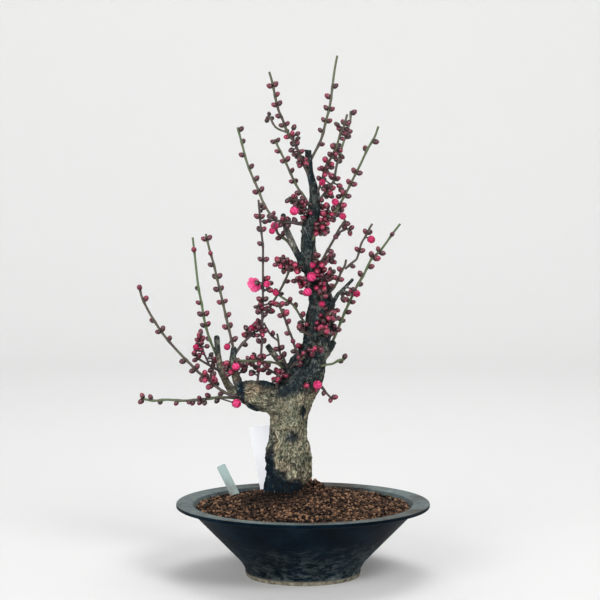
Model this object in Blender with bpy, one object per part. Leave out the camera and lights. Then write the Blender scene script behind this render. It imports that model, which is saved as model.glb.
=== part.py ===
"""A flowering apricot bonsai, Prunus mume, in a round flared pot of unglazed dark clay.

The old trunk forks low into one heavy limb and one tall stem. Young green shoots grow
from both, set all along with small round flower buds, a few of them opening pink.
Every size below is in millimetres, and each finished mesh is scaled to metres.
"""

import math
import random
from collections import namedtuple

import bmesh
import bpy
from mathutils import Matrix, Vector, noise

METRES_PER_MM = 0.001
GAP = 0.3
SEED = 11

# The pot's rim is the widest part on the right, and the longest low shoot on the left,
# so the pot stands this far right of the model's middle
RIM_RADIUS = 127.0
LEFT_REACH = 166.6
POT_X = (LEFT_REACH - RIM_RADIUS) / 2

# Pot
POT_SEGMENTS = 32
RIM_HEIGHT = 73.0
LIP_WIDTH = 16.5
LIP_THICKNESS = 4.2
WALL = 6.5
FOOT_RADIUS = 57.0
FOOT_RING_WIDTH = 7.5
FOOT_RECESS = 5.0
FOOT_BAND_HEIGHT = 5.6
FOOT_BAND_FLARE = 1.2
GROOVE_HEIGHT = 6.6
GROOVE_FLARE = 0.5
STEP_HEIGHT = 12.6
STEP_FLARE = 4.0
KNEE_RADIUS = 63.5
KNEE_HEIGHT = 16.0
WALL_TOP_RADIUS = 112.5
WALL_TOP_HEIGHT = 67.0
FLOOR_HEIGHT = 12.0
FLOOR_RADIUS = 49.0
FLOOR_CORNER = 2.0
LIP_ROOT = 4.0
LIP_ROUNDING = 1.4
LIP_SLOPE = 0.8
DRAIN_RADIUS = 12.0

# Drain net over the hole in the pot's floor
NET_RADIUS = 19.0
NET_THICKNESS = 1.2
NET_SEGMENTS = 16
NET_HOLE = 4.0
NET_PITCH = 6.0
NET_COLUMNS = (-0.5, 0.5)
NET_ROWS = (-1, 0, 1)

# Soil
SOIL_RINGS = 8
SOIL_EDGE_RADIUS = 100.8
SOIL_EDGE_HEIGHT = 65.5
SOIL_CROWN_HEIGHT = 84.0
SOIL_RELIEF = 1.7
SOIL_RIM_RELIEF = 0.1
LUMP_SIZE = 6.0
GRAIN_SIZE = 2.7

# Labels pushed into the soil: width, thickness, foot, top, depth and how far they are buried
STAKE_WIDTH = 9.0
STAKE_THICKNESS = 1.0
STAKE_FOOT = (-65.8, 76.0)
STAKE_TOP = (-82.5, 110.0)
STAKE_DEPTH = 45.0
TAG_WIDTH = 25.0
TAG_THICKNESS = 0.8
TAG_FOOT = (-33.0, 77.0)
TAG_TOP = (-41.5, 150.0)
TAG_DEPTH = 62.0
TAG_FOOT_SHARE = 0.62
BURIED = 22.0
SHOULDER_BURIED = 6.0

# The tables below give each point as it looks from the front, in the upright plane
# through the pot's axis. place() moves it along the line of sight to its own depth.
SIGHT_DISTANCE = 1850.0
SIGHT_HEIGHT = 389.0

# Old wood. Each row of the trunk is height, middle and half width, from the front
TRUNK_SIDES = 14
TRUNK_ROWS = (
    (46, -19, 15.0),
    (60, -19, 18.5),
    (74, -18, 21.5),
    (88, -17, 22.5),
    (103, -13.5, 23.0),
    (116, -15, 24.2),
    (127, -15, 22.7),
    (138, -15.5, 19.4),
    (150, -15, 18.6),
    (165, -14, 19.2),
    (182, -8, 20.5),
    (197, 0, 20.0),
    (211, 5, 18.0),
    (227, 12, 14.0),
    (242, 15, 14.0),
    (257, 17, 14.5),
    (272, 19, 13.0),
    (288, 15, 11.5),
    (303, 9.6, 9.2),
    (329, 5, 7.6),
    (349, 6, 7.4),
    (363, 11, 7.0),
    (381, 12, 5.4),
    (392, 9.5, 4.2),
    (404, 6.5, 3.7),
    (426, 5, 3.4),
)
TRUNK_DEPTH_SHARE = 0.92
TRUNK_FOOT_DEPTH = 12.0
TRUNK_TOP_DEPTH = 0.0
FURROWS = 9
FURROW_DEPTH = 0.055
FURROW_TWIST = 0.02
GNARL = 0.13
BURL_SIZE = 17.0

Branch = namedtuple("Branch", "sides depths route radii")
BRANCHES = (
    Branch(12, (8, 2), ((-6, 158), (-20, 172), (-33, 178), (-45, 180), (-55, 184), (-62, 189)),
           (15, 16, 15.5, 16.5, 14, 9)),
    Branch(8, (0, -16), ((-60, 184), (-66, 195), (-69, 206), (-70.5, 217), (-69, 229)),
           (6, 5, 4.2, 3.8, 3.2)),
    Branch(8, (8, 30), ((-58, 178), (-70.5, 184), (-76, 193), (-82.6, 207), (-85, 222), (-86, 240)),
           (6, 5, 4.2, 4, 3.6, 3.2)),
    Branch(7, (6, 12), ((3, 305), (-3, 317), (-8, 327), (-16.4, 346), (-20, 362)),
           (5, 4, 3.6, 3.2, 2.7)),
    Branch(7, (6, 16), ((-4, 190), (-12, 201), (-20, 211), (-29.6, 222), (-36, 231)),
           (6, 4.6, 4, 3.7, 3.3)),
    Branch(6, (0, -20), ((20, 262), (29, 272), (35, 282), (42, 288.5), (50, 297)),
           (4, 3, 2.4, 2.2, 2)),
    Branch(7, (4, 14), ((6, 203), (15, 212), (24, 223), (31, 235)), (5, 4.5, 4, 3.6)),
)

# Young shoots: depths at foot and tip, radii at foot and tip, where their first and last
# nodes sit along them, the buds at each node, and the points they pass. In a node's
# letters, L and R are left and right of the way the shoot grows, F front and B back.
# A capital is a closed bud and a small letter a swelling one. A dot is a bare node.
Shoot = namedtuple("Shoot", "name depths radii span nodes route")
SHOOTS = (
    Shoot("shoot_crown_right", (2, 30), (1.6, 0.9), (0.10, 0.93), "R L R LRB LRF R L B R",
          ((5, 410), (10, 420), (18, 436), (23, 455), (27, 471), (31, 502), (34, 519))),
    Shoot("shoot_crown_left", (0, -34), (1.65, 0.9), (0.12, 0.97), "LRF LR BLR LF LR R LRB L LR LR",
          ((6, 400), (0.5, 411), (-5, 425), (-10, 435), (-16, 444), (-20, 455), (-24, 464),
           (-27, 475), (-30.5, 492), (-33.6, 503))),
    Shoot("shoot_crown_left", (-17, -16), (1, 0.85), (0.35, 0.98), "LR L R",
          ((-16, 443), (-27, 448), (-33, 458))),
    Shoot("shoot_left_high", (10, 34), (1.65, 0.9), (0.20, 0.98), "LR FR LB R LR L L R B L",
          ((-2, 314), (-7, 321), (-15, 334), (-25.5, 343), (-27, 354), (-30, 358), (-38.6, 371),
           (-45, 387), (-52, 403), (-57, 417), (-60, 429), (-65, 448))),
    Shoot("shoot_left_upright", (0, -22), (1.6, 0.85), (0.08, 0.985), "F L RB R L RF B . LR R LB LR L",
          ((-46, 190), (-44, 207), (-42, 220), (-41, 239), (-40.6, 260), (-40, 282), (-40, 314),
           (-40, 329), (-41.6, 344), (-43, 358), (-44.4, 376))),
    Shoot("shoot_left_cross", (-14, 40), (1.45, 0.9), (0.15, 0.95), "L RB LR . L RF LR R",
          ((-69.5, 219), (-63, 229), (-54, 239), (-46, 247), (-40, 258), (-33, 269), (-25, 282),
           (-18, 295), (-12, 310))),
    Shoot("shoot_limb_front", (-16, -26), (1.45, 0.85), (0.07, 0.94), "L RB LR LRF RRL LB R F RL",
          ((-69.5, 227), (-72, 238), (-76, 255), (-81, 277), (-85, 294), (-89, 311), (-94, 329),
           (-97, 342))),
    Shoot("twig_left_slant", (0, -12), (1.15, 0.85), (0.35, 0.95), "LR L RF L",
          ((8, 248), (0, 256), (-7, 267), (-11, 272), (-23, 280))),
    Shoot("twig_left_fork", (-4, -26), (1.3, 0.85), (0.2, 0.97), "R F LF LR Rl lB",
          ((0, 214), (-7, 226), (-11, 238), (-14, 245), (-18, 257), (-24.5, 272))),
    Shoot("twig_saddle_left", (8, -6), (1.2, 0.85), (0.3, 0.95), "L RF LR B LR",
          ((-10, 202), (-15, 208), (-20, 219), (-23, 223), (-25, 238), (-26, 242))),
    Shoot("twig_saddle_left", (-3, 4), (0.9, 0.85), (0.3, 0.97), "L R LR",
          ((-25, 235), (-32, 241), (-36, 247), (-39, 253))),
    Shoot("twig_saddle_right", (2, -22), (1.15, 0.85), (0.5, 0.97), "L RF LR",
          ((-8, 203), (-12, 208), (-8, 212), (-2, 216), (1, 219))),
    Shoot("twig_level", (8, -24), (1.2, 0.85), (0.3, 0.96), "R LF R L RB R LR",
          ((-20, 208), (-28, 213), (-41, 214), (-48, 215), (-60, 215), (-66, 216))),
    Shoot("twig_low", (10, 16), (1.05, 0.85), (0.5, 0.97), "L RF LR",
          ((-14, 196), (-20, 200), (-27, 202), (-37, 208))),
    Shoot("shoot_right_long", (12, 30), (1.75, 0.85), (0.19, 0.97), "RB L LR lR B R L lR LR R F LR",
          ((27, 229), (33, 242), (39, 257), (46, 273), (54.5, 291), (60, 300),
           (64, 308), (69, 318), (76, 324), (83, 333), (90, 343), (97, 352))),
    Shoot("shoot_right_inner", (2, -30), (1.35, 0.9), (0.38, 0.95), "R LB R L",
          ((18, 272), (24, 280), (33, 292), (38, 304), (41.5, 310), (43, 316))),
    Shoot("shoot_right_inner", (-24, -38), (1.15, 0.85), (0.1, 0.97), "L R LF R LB R",
          ((42, 307), (50, 314), (54, 318), (58, 332), (62, 339), (66, 347), (69, 352))),
    Shoot("shoot_right_fork", (-2, -52), (1.35, 0.9), (0.3, 0.97), "L RF LR FB R L",
          ((12, 303), (22, 321), (27, 330), (31.5, 338), (36, 347), (42, 355))),
    Shoot("shoot_right_fork", (-41, -42), (1, 0.85), (0.5, 0.97), "R LR",
          ((34, 343), (37, 344), (43, 347), (47, 346))),
    Shoot("shoot_right_high", (0, -34), (1.6, 0.85), (0.2, 0.97), "LR FB l LRF LR LRB . B L RF",
          ((6, 330), (16, 347), (23, 358), (33.5, 366), (38, 374), (43, 383), (49, 395), (54, 405),
           (58, 413), (64, 426), (71, 438), (75, 449))),
    Shoot("shoot_right_back", (2, 32), (1.45, 0.9), (0.2, 0.98), "l rF L RB R . RF R L",
          ((12, 371), (18, 378), (31, 395), (32, 401), (33.5, 410), (36, 418), (39, 429),
           (42, 438), (44.5, 446), (47, 454), (47.6, 464))),
    Shoot("shoot_right_front", (0, -16), (1.35, 0.9), (0.22, 0.97), "LF RB L R LF . L LB R",
          ((11, 378), (15, 385), (20, 400), (22, 408), (27, 416), (31, 424), (34, 431), (37, 441),
           (41, 450), (44, 461))),
    Shoot("shoot_left_inner", (2, 38), (1.35, 0.9), (0.25, 0.97), "R RB L LF R LR",
          ((8, 366), (2, 378), (-4, 386), (-9, 395), (-13, 404), (-19, 417), (-24, 427), (-28, 436))),
    Shoot("twig_right_low", (-2, -8), (1.15, 0.85), (0.45, 0.97), "R RF L LR",
          ((12, 208), (23, 211), (29.5, 212), (35, 215), (42, 217))),
    Shoot("twig_right_down", (-6, -20), (1.05, 0.85), (0.6, 0.97), "L LRF",
          ((8, 194), (18, 190), (23, 183), (29, 177))),
    Shoot("shoot_far_left", (0, -26), (1.65, 0.9), (0.12, 0.985), "R rlB l LF R . L LR LBR . L F",
          ((-62, 181), (-71, 180), (-76, 182), (-84, 187), (-95, 196), (-104, 203), (-112, 211),
           (-120, 219), (-131, 231), (-140, 242), (-148, 254), (-155, 266), (-161, 279),
           (-163.5, 290))),
    Shoot("shoot_level_left", (6, 18), (1.45, 0.85), (0.24, 0.975), "R LB R LF . LR R B L RF",
          ((-60, 176), (-73, 178), (-87, 178), (-103, 176), (-120, 175), (-136, 176), (-149, 175),
           (-161.5, 177))),
    Shoot("shoot_limb_back", (26, 42), (1.45, 0.85), (0.08, 0.985), "L LB LR LR RF B L R F R",
          ((-84, 215), (-87, 222), (-91, 231), (-95, 242), (-99, 258), (-101, 271), (-104, 286),
           (-106, 302), (-108, 321), (-110, 338.5))),
    Shoot("twig_limb_out", (18, 4), (1.35, 1), (0.35, 0.97), "RB L RF",
          ((-80, 201), (-84, 205), (-89, 208), (-98, 213), (-106, 218))),
    Shoot("twig_limb_out", (8.5, 2), (1.1, 0.95), (0.32, 0.97), "L RB LR",
          ((-93.4, 209.8), (-97, 218), (-100, 225), (-103, 236))),
)

# Short flowering spurs on the old wood, in the same terms
SPURS = (
    Shoot("spur_left_top", (0, -14), (1.7, 1.2), (0.45, 0.98), "LR FB LR L R",
          ((12, 370), (0, 374), (-14, 378))),
    Shoot("spur_left_upper", (4, -8), (1.7, 1.2), (0.35, 0.98), "LR F LB R LR F LR",
          ((4, 350), (-8, 353), (-27, 355))),
    Shoot("spur_left_middle", (6, -12), (1.7, 1.2), (0.45, 0.98), "lr BF r lr f l",
          ((8, 306.5), (-8, 310), (-24, 312))),
    Shoot("spur_left_lower", (4, -6), (1.6, 1.2), (0.6, 0.98), "LR F LB",
          ((12, 290), (2, 293), (-7, 295))),
    Shoot("spur_right_upper", (6, 4), (1.6, 1.2), (0.45, 0.98), "LR RB LF R",
          ((8, 312), (20, 315), (30, 318))),
    Shoot("spur_right_middle", (0, -14), (1.6, 1.2), (0.5, 0.98), "LR FR LB R",
          ((14, 296), (23, 299), (30, 302))),
    Shoot("spur_right_lower", (0, -24), (1.6, 1.2), (0.7, 0.98), "LR FR LB",
          ((19, 258), (23, 260), (27, 262))),
    Shoot("spur_front_middle", (0, -28), (1.6, 1.2), (0.62, 0.98), "lr rf LF",
          ((15, 240), (18, 243), (20, 246))),
    Shoot("spur_front_left", (0, -14), (1.55, 1.2), (0.6, 0.98), "L RF L",
          ((14, 238), (5, 242), (-3, 245))),
    Shoot("spur_front_low", (0, -30), (1.55, 1.2), (0.75, 0.98), "LF R LB",
          ((10, 224), (13, 226), (15, 228))),
    Shoot("spur_limb_top", (2, -10), (2, 1.4), (0.6, 0.98), "lr fb lr",
          ((-27, 180), (-26, 192), (-24, 201))),
    Shoot("spur_front_high", (6, -16), (1.55, 1.1), (0.6, 0.98), "LR F B",
          ((8, 318), (11, 318), (14, 318))),
    Shoot("spur_front_bloom", (6, -16), (1.55, 1.1), (0.7, 0.98), "LR FR",
          ((10, 292), (8, 292), (6, 292))),
    Shoot("spur_front_knot", (6, -22), (1.55, 1.1), (0.66, 0.98), "LR BF LR",
          ((17, 277), (18, 279), (19, 281))),
    Shoot("spur_back_low", (4, 36), (1.6, 1.2), (0.6, 0.98), "LR FB LR",
          ((13, 236), (10, 242), (6, 250))),
    Shoot("spur_back_high", (4, 30), (1.6, 1.2), (0.5, 0.98), "LR FB LR",
          ((5, 334), (4, 342), (2, 352))),
)

# Swelling flowers: the shoot each grows from, its middle from the front, how far it
# stands before that shoot, its radius, and which of a forked shoot's twigs it grows from.
# The named ones are pieces of their own.
Bloom = namedtuple("Bloom", "host at forward radius name twig", defaults=(0,))
BLOOMS = (
    Bloom("spur_left_top", (-9, 365), 6, 4.6, "bloom_left_top"),
    Bloom("spur_front_bloom", (8.5, 299), 4, 4.8, "bloom_trunk_upper"),
    Bloom("spur_front_bloom", (4.5, 284), 4, 4.3, "bloom_trunk_lower"),
    Bloom("spur_front_high", (10, 311), 0, 3.4, "bloom_trunk_high"),
    Bloom("twig_right_down", (14.6, 191), 9, 4.4, "bloom_right_low"),
    Bloom("shoot_level_left", (-66.5, 172), 14, 4.7, "bloom_limb_end"),
    Bloom("twig_level", (-67, 211), 3, 4.0, "bloom_level"),
    Bloom("shoot_left_upright", (-36, 291), 5, 3.9, "bloom_upright"),
    Bloom("shoot_right_long", (53, 283), 5, 3.9, "bloom_right_long"),
    Bloom("shoot_right_inner", (66.5, 337), 3, 3.9, "bloom_right_inner", 1),
    Bloom("shoot_left_high", (-28, 350), 6, 4.2, "bloom_left_high"),
    Bloom("shoot_limb_front", (-76, 229), 5, 3.4, ""),
    Bloom("twig_limb_out", (-107, 229), 4, 3.2, "", 1),
    Bloom("shoot_left_cross", (-51, 248), 5, 3.4, ""),
    Bloom("twig_left_slant", (-27, 283), 4, 3.3, ""),
    Bloom("shoot_right_front", (19, 394), 5, 3.4, ""),
    Bloom("shoot_right_high", (32, 374), 5, 3.6, ""),
    Bloom("shoot_right_fork", (40, 359), 4, 3.4, ""),
    Bloom("spur_front_knot", (19, 272), 3, 3.3, ""),
    Bloom("spur_left_upper", (-31, 345), 4, 3.3, ""),
)
OPEN_FLOWER_HOST = "shoot_left_upright"
OPEN_FLOWER_AT = (-46.5, 292)
OPEN_FLOWER_FORWARD = 7.0
OPEN_FLOWER_FACING = (-0.80, -0.48, 0.36)
PETALS = 5
PETAL_RADIUS = 4.6
PETAL_THICKNESS = 0.7
PETAL_OUT = 0.92
PETAL_RISE = 4.6
PETAL_SPOON = 0.9
PETAL_TILT = 0.16
PETAL_LAP = 0.13
PETAL_TWIST = 0.9
BALL_FLAT = 0.86
DOME_RADIUS = 1.7
DOME_HEIGHT = 2.0
STAMENS = 5
STAMEN_RING = 0.7
STAMEN_RADIUS = 0.28
ANTHER_RADIUS = 0.5
STAMEN_LENGTH = 5.2
PLACES_TO_TRY = 60

# Buds
SHOOT_SIDES = 5
FLAT = math.radians(0.6)
BUD_LENGTH = 6.4
BUD_WIDTH = 5.2
SWELLING = 1.18
BUD_LEAN = math.radians(52)
BUD_BELLY = 0.45
BUD_FLAT_SHARE = 0.85
BUD_FOOT = 2.4
BUD_SIZES = (0.86, 1.08)
LEAN_SPREAD = 0.16
TURN_SPREAD = 0.3
STEP_SPREAD = 0.1
BEND_APART = 9.0
NODES_APART = 3.0
MOST_SHARE = 0.985
TURNS_TO_TRY = (0.0, 0.7, -0.7, 1.3, -1.3, 2.0, -2.0, math.pi)
ROOM = 0.9
SAME_SHOOT_ROOM = -1.6
STALK_RADIUS = 0.85
STALK_LEAST = 1.8
CALYX_RADIUS = 2.3
CALYX_LENGTH = 1.8
MERGE_DISTANCE = 0.002
SHARP_ANGLE = math.radians(40)

BARK_OLD = (0.17, 0.13, 0.08)
BARK_YOUNG = (0.19, 0.22, 0.09)
BUD_RED = (0.10, 0.014, 0.025)
PETAL_PINK = (0.78, 0.07, 0.23)
CLAY = (0.008, 0.013, 0.017)
SOIL = (0.22, 0.075, 0.035)
MARKER_GREEN = (0.38, 0.48, 0.44)
LABEL_WHITE = (0.86, 0.87, 0.90)
NET_BLACK = (0.02, 0.02, 0.02)


def place(x, z, depth):
    """The point that shows at x, z from the front, at its own depth behind the pot's axis."""
    reach = (SIGHT_DISTANCE + depth) / SIGHT_DISTANCE
    return Vector((POT_X + x * reach, depth, SIGHT_HEIGHT + (z - SIGHT_HEIGHT) * reach))


def along(points, share):
    """The point at a share of the length of a route, and the direction there."""
    lengths = [(b - a).length for a, b in zip(points, points[1:])]
    left = share * sum(lengths)
    for a, b, length in zip(points, points[1:], lengths):
        if left <= length:
            break
        left -= length
    return a.lerp(b, min(left / length, 1.0)), (b - a).normalized()


def route_length(points):
    return sum((b - a).length for a, b in zip(points, points[1:]))


def spread_depths(route, depths):
    """The route's points, with the depth going evenly from the foot's to the tip's."""
    flat = [Vector(p) for p in route]
    run = [0.0]
    for a, b in zip(flat, flat[1:]):
        run.append(run[-1] + (b - a).length)
    first, last = depths
    return [place(p.x, p.y, first + (last - first) * s / run[-1]) for p, s in zip(flat, run)]


def frames_along(points):
    """A matrix for each point, its Z along the route and its X turned as little as can be."""
    ways = [(b - a).normalized() for a, b in zip(points, points[1:])]
    tangents = [ways[0]] + [(a + b).normalized() for a, b in zip(ways, ways[1:])] + [ways[-1]]
    turn = Vector((0, 0, 1)).rotation_difference(tangents[0])
    frames = []
    before = tangents[0]
    for point, tangent in zip(points, tangents):
        turn = before.rotation_difference(tangent) @ turn
        frames.append(Matrix.Translation(point) @ turn.to_matrix().to_4x4())
        before = tangent
    return frames


def tube(points, radii, sides):
    """A closed tapering stem: its end face is extruded from each point to the next."""
    bm = bmesh.new()
    frames = frames_along(points)
    sizes = [frame @ Matrix.Diagonal((r, r, 1, 1)) for frame, r in zip(frames, radii)]
    bmesh.ops.create_circle(bm, cap_ends=True, segments=sides, radius=1, matrix=sizes[0])
    end = bm.faces[:]
    for here, ahead in zip(sizes, sizes[1:]):
        step = bmesh.ops.extrude_face_region(bm, geom=end, use_keep_orig=True)["geom"]
        verts = [g for g in step if isinstance(g, bmesh.types.BMVert)]
        bmesh.ops.transform(bm, matrix=ahead @ here.inverted(), verts=verts)
        if here is not sizes[0]:
            bmesh.ops.delete(bm, geom=end, context="FACES_ONLY")
        end = [g for g in step if isinstance(g, bmesh.types.BMFace)]
    bmesh.ops.recalc_face_normals(bm, faces=bm.faces)
    return bm


def band_of_faces(bm, at, way, thick):
    """The faces of a stem between the two rings of a node."""
    band = []
    for face in bm.faces:
        out = face.calc_center_median() - at
        between_rings = abs(out.dot(way)) < 0.3 * BUD_FOOT
        if between_rings and 0.4 * thick < out.length < 1.4 * thick:
            band.append(face)
    return band


def draw_out_bud(bm, face, way, length, width):
    """Draws a face of a stem out into a small pointed four-sided bud."""
    foot = face.calc_center_median()
    turn = face.normal.rotation_difference(way).to_matrix().to_4x4()
    wider = Matrix.Scale(width * BUD_FLAT_SHARE / math.sqrt(face.calc_area()), 4)
    belly = foot + way * (BUD_BELLY * length)
    face = bmesh.ops.extrude_discrete_faces(bm, faces=[face])["faces"][0]
    move = Matrix.Translation(belly) @ turn @ wider @ Matrix.Translation(-foot)
    bmesh.ops.transform(bm, matrix=move, verts=face.verts)
    tip = bmesh.ops.poke(bm, faces=[face])["verts"][0]
    tip.co = foot + way * length


def face_outwards(bm):
    """Turns all the faces of a closed body outwards."""
    bmesh.ops.recalc_face_normals(bm, faces=bm.faces)
    if bm.calc_volume(signed=True) < 0:
        bmesh.ops.reverse_faces(bm, faces=bm.faces)


def to_object(name, bm):
    """The mesh as an object of the scene, in millimetres until it is finished."""
    bmesh.ops.triangulate(bm, faces=bm.faces)
    mesh = bpy.data.meshes.new(name)
    bm.to_mesh(mesh)
    bm.free()
    thing = bpy.data.objects.new(name, mesh)
    bpy.context.scene.collection.objects.link(thing)
    return thing


def combined(first, others, operation):
    """One Boolean of a mesh with all the others at once, applied. Gives a new bmesh."""
    host = to_object("boolean_host", first)
    group = bpy.data.collections.new("boolean_group")
    bpy.context.scene.collection.children.link(group)
    for other in others:
        guest = to_object("boolean_guest", other)
        guest.hide_render = True
        guest.display_type = "WIRE"
        bpy.context.scene.collection.objects.unlink(guest)
        group.objects.link(guest)
    cut = host.modifiers.new("combine", "BOOLEAN")
    cut.operation = operation
    cut.solver = "EXACT"
    cut.operand_type = "COLLECTION"
    cut.collection = group
    evaluated = host.evaluated_get(bpy.context.evaluated_depsgraph_get())
    bm = bmesh.new()
    bm.from_mesh(evaluated.to_mesh())
    evaluated.to_mesh_clear()
    for guest in list(group.objects):
        bpy.data.objects.remove(guest)
    bpy.data.objects.remove(host)
    bpy.data.collections.remove(group)
    return bm


def keep_main_body(bm):
    """Drops loose scraps and sealed hollows: all but the body with the most faces."""
    left = set(bm.faces)
    bodies = []
    while left:
        body = {left.pop()}
        edge_of_it = list(body)
        while edge_of_it:
            face = edge_of_it.pop()
            for edge in face.edges:
                for near in edge.link_faces:
                    if near in left:
                        left.remove(near)
                        body.add(near)
                        edge_of_it.append(near)
        bodies.append(body)
    bodies.sort(key=len)
    scraps = [face for body in bodies[:-1] for face in body]
    bmesh.ops.delete(bm, geom=scraps, context="FACES")


def finish(name, bm, colour, roughness):
    """A node of the model: the mesh in metres under its name, with its own material."""
    bmesh.ops.remove_doubles(bm, verts=bm.verts, dist=MERGE_DISTANCE)
    bmesh.ops.dissolve_limit(bm, angle_limit=FLAT, verts=bm.verts, edges=bm.edges)
    bmesh.ops.scale(bm, vec=(METRES_PER_MM,) * 3, verts=bm.verts)
    thing = to_object(name, bm)
    thing.data.shade_smooth()
    thing.data.set_sharp_from_angle(angle=SHARP_ANGLE)
    material = bpy.data.materials.new(name + "_material")
    material.use_nodes = True
    shader = material.node_tree.nodes["Principled BSDF"]
    shader.inputs["Base Color"].default_value = (*colour, 1)
    shader.inputs["Roughness"].default_value = roughness
    shader.inputs["Metallic"].default_value = 0
    thing.data.materials.append(material)
    return thing


def spun(profile, segments):
    """A turned body about the pot's axis, from its closed profile of radius and height."""
    bm = bmesh.new()
    verts = [bm.verts.new((r, 0, z)) for r, z in profile]
    edges = [bm.edges.new(pair) for pair in zip(verts, verts[1:] + verts[:1])]
    bmesh.ops.spin(
        bm, geom=edges, cent=(0, 0, 0), axis=(0, 0, 1), dvec=(0, 0, 0),
        angle=math.tau, steps=segments, use_merge=True,
    )
    bmesh.ops.remove_doubles(bm, verts=bm.verts, dist=0.01)
    bmesh.ops.translate(bm, vec=(POT_X, 0, 0), verts=bm.verts)
    bmesh.ops.recalc_face_normals(bm, faces=bm.faces)
    return bm


def inner_radius(height):
    """The radius of the pot's inner wall at a height above the floor."""
    slope = (WALL_TOP_RADIUS - KNEE_RADIUS) / (WALL_TOP_HEIGHT - KNEE_HEIGHT)
    across = WALL * math.hypot(1, slope)
    return KNEE_RADIUS - across + slope * (height - KNEE_HEIGHT)


def make_pot():
    lip_under = RIM_HEIGHT - LIP_THICKNESS
    lip_inner = RIM_RADIUS - LIP_WIDTH
    outside = [
        (FOOT_RADIUS - FOOT_RING_WIDTH, 0),
        (FOOT_RADIUS, 0),
        (FOOT_RADIUS + FOOT_BAND_FLARE, FOOT_BAND_HEIGHT),
        (FOOT_RADIUS + GROOVE_FLARE, GROOVE_HEIGHT),
        (FOOT_RADIUS + STEP_FLARE, STEP_HEIGHT),
        (KNEE_RADIUS, KNEE_HEIGHT),
        (WALL_TOP_RADIUS, WALL_TOP_HEIGHT - LIP_SLOPE),
        (WALL_TOP_RADIUS + LIP_ROOT, lip_under),
        (RIM_RADIUS - LIP_ROUNDING, lip_under + 0.3 * LIP_ROUNDING),
        (RIM_RADIUS, lip_under + 1.3 * LIP_ROUNDING),
        (RIM_RADIUS, RIM_HEIGHT - 0.7 * LIP_ROUNDING),
        (RIM_RADIUS - LIP_ROUNDING, RIM_HEIGHT),
    ]
    inside = [
        (lip_inner, RIM_HEIGHT - LIP_SLOPE),
        (lip_inner - 1.5 * LIP_ROUNDING, RIM_HEIGHT - 3 * LIP_SLOPE),
        (inner_radius(SOIL_EDGE_HEIGHT), SOIL_EDGE_HEIGHT),
        (inner_radius(FLOOR_HEIGHT + FLOOR_CORNER), FLOOR_HEIGHT + FLOOR_CORNER),
        (FLOOR_RADIUS, FLOOR_HEIGHT),
        (DRAIN_RADIUS, FLOOR_HEIGHT),
        (DRAIN_RADIUS, FOOT_RECESS),
        (FOOT_RADIUS - FOOT_RING_WIDTH - LIP_ROUNDING, FOOT_RECESS),
    ]
    return finish("pot", spun(outside + inside, POT_SEGMENTS), CLAY, 0.5)


def make_drain_net():
    bm = bmesh.new()
    low = FLOOR_HEIGHT + GAP
    at = Matrix.Translation((POT_X, 0, low + NET_THICKNESS / 2))
    bmesh.ops.create_cone(
        bm, cap_ends=True, segments=NET_SEGMENTS, radius1=NET_RADIUS, radius2=NET_RADIUS,
        depth=NET_THICKNESS, matrix=at,
    )
    holes = []
    for column in NET_COLUMNS:
        for row in NET_ROWS:
            hole = bmesh.new()
            shift = Matrix.Translation((column * NET_PITCH, row * NET_PITCH, 0))
            size = Matrix.Diagonal((NET_HOLE, NET_HOLE, 3 * NET_THICKNESS, 1))
            bmesh.ops.create_cube(hole, size=1, matrix=at @ shift @ size)
            holes.append(hole)
    return finish("drain_net", combined(bm, holes, "DIFFERENCE"), NET_BLACK, 0.6)


def trunk_depth(height):
    """How far behind the pot's axis the trunk's middle stands at a height."""
    low, high = TRUNK_ROWS[0][0], TRUNK_ROWS[-1][0]
    return TRUNK_FOOT_DEPTH + (TRUNK_TOP_DEPTH - TRUNK_FOOT_DEPTH) * (height - low) / (high - low)


def gnarled(bm, centres, radii):
    """Moves each point of a stem in or out, by furrows down the bark and by its burls."""
    for vert in bm.verts:
        nearest = min(range(len(centres)), key=lambda i: (centres[i] - vert.co).length)
        out = vert.co - centres[nearest]
        size = radii[nearest]
        turn = math.atan2(out.y, out.x)
        furrow = math.cos(FURROWS * turn + FURROW_TWIST * vert.co.z) * FURROW_DEPTH
        burl = noise.noise(vert.co / BURL_SIZE) * GNARL
        vert.co += out.normalized() * size * (furrow + burl)


def trunk_stems(grown=0.0):
    """The stems that make up the old wood, each a closed tube, grown outwards all round."""
    stems = []
    centres = [place(x, z, trunk_depth(z)) for z, x, _ in TRUNK_ROWS]
    radii = [half for _, _, half in TRUNK_ROWS]
    main = tube(centres, radii, TRUNK_SIDES)
    for vert in main.verts:
        middle = trunk_depth(vert.co.z)
        vert.co.y = middle + (vert.co.y - middle) * TRUNK_DEPTH_SHARE
    gnarled(main, centres, radii)
    stems.append(main)
    for branch in BRANCHES:
        points = spread_depths(branch.route, branch.depths)
        stem = tube(points, branch.radii, branch.sides)
        gnarled(stem, points, branch.radii)
        stems.append(stem)
    for stem in stems:
        stem.normal_update()
        moves = [(vert, vert.normal.copy()) for vert in stem.verts]
        for vert, normal in moves:
            vert.co += normal * grown * vert.calc_shell_factor()
    return stems


def old_wood(grown=0.0):
    """All the old wood as one body."""
    stems = trunk_stems(grown)
    bm = combined(stems[0], stems[1:], "UNION")
    keep_main_body(bm)
    return bm


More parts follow.
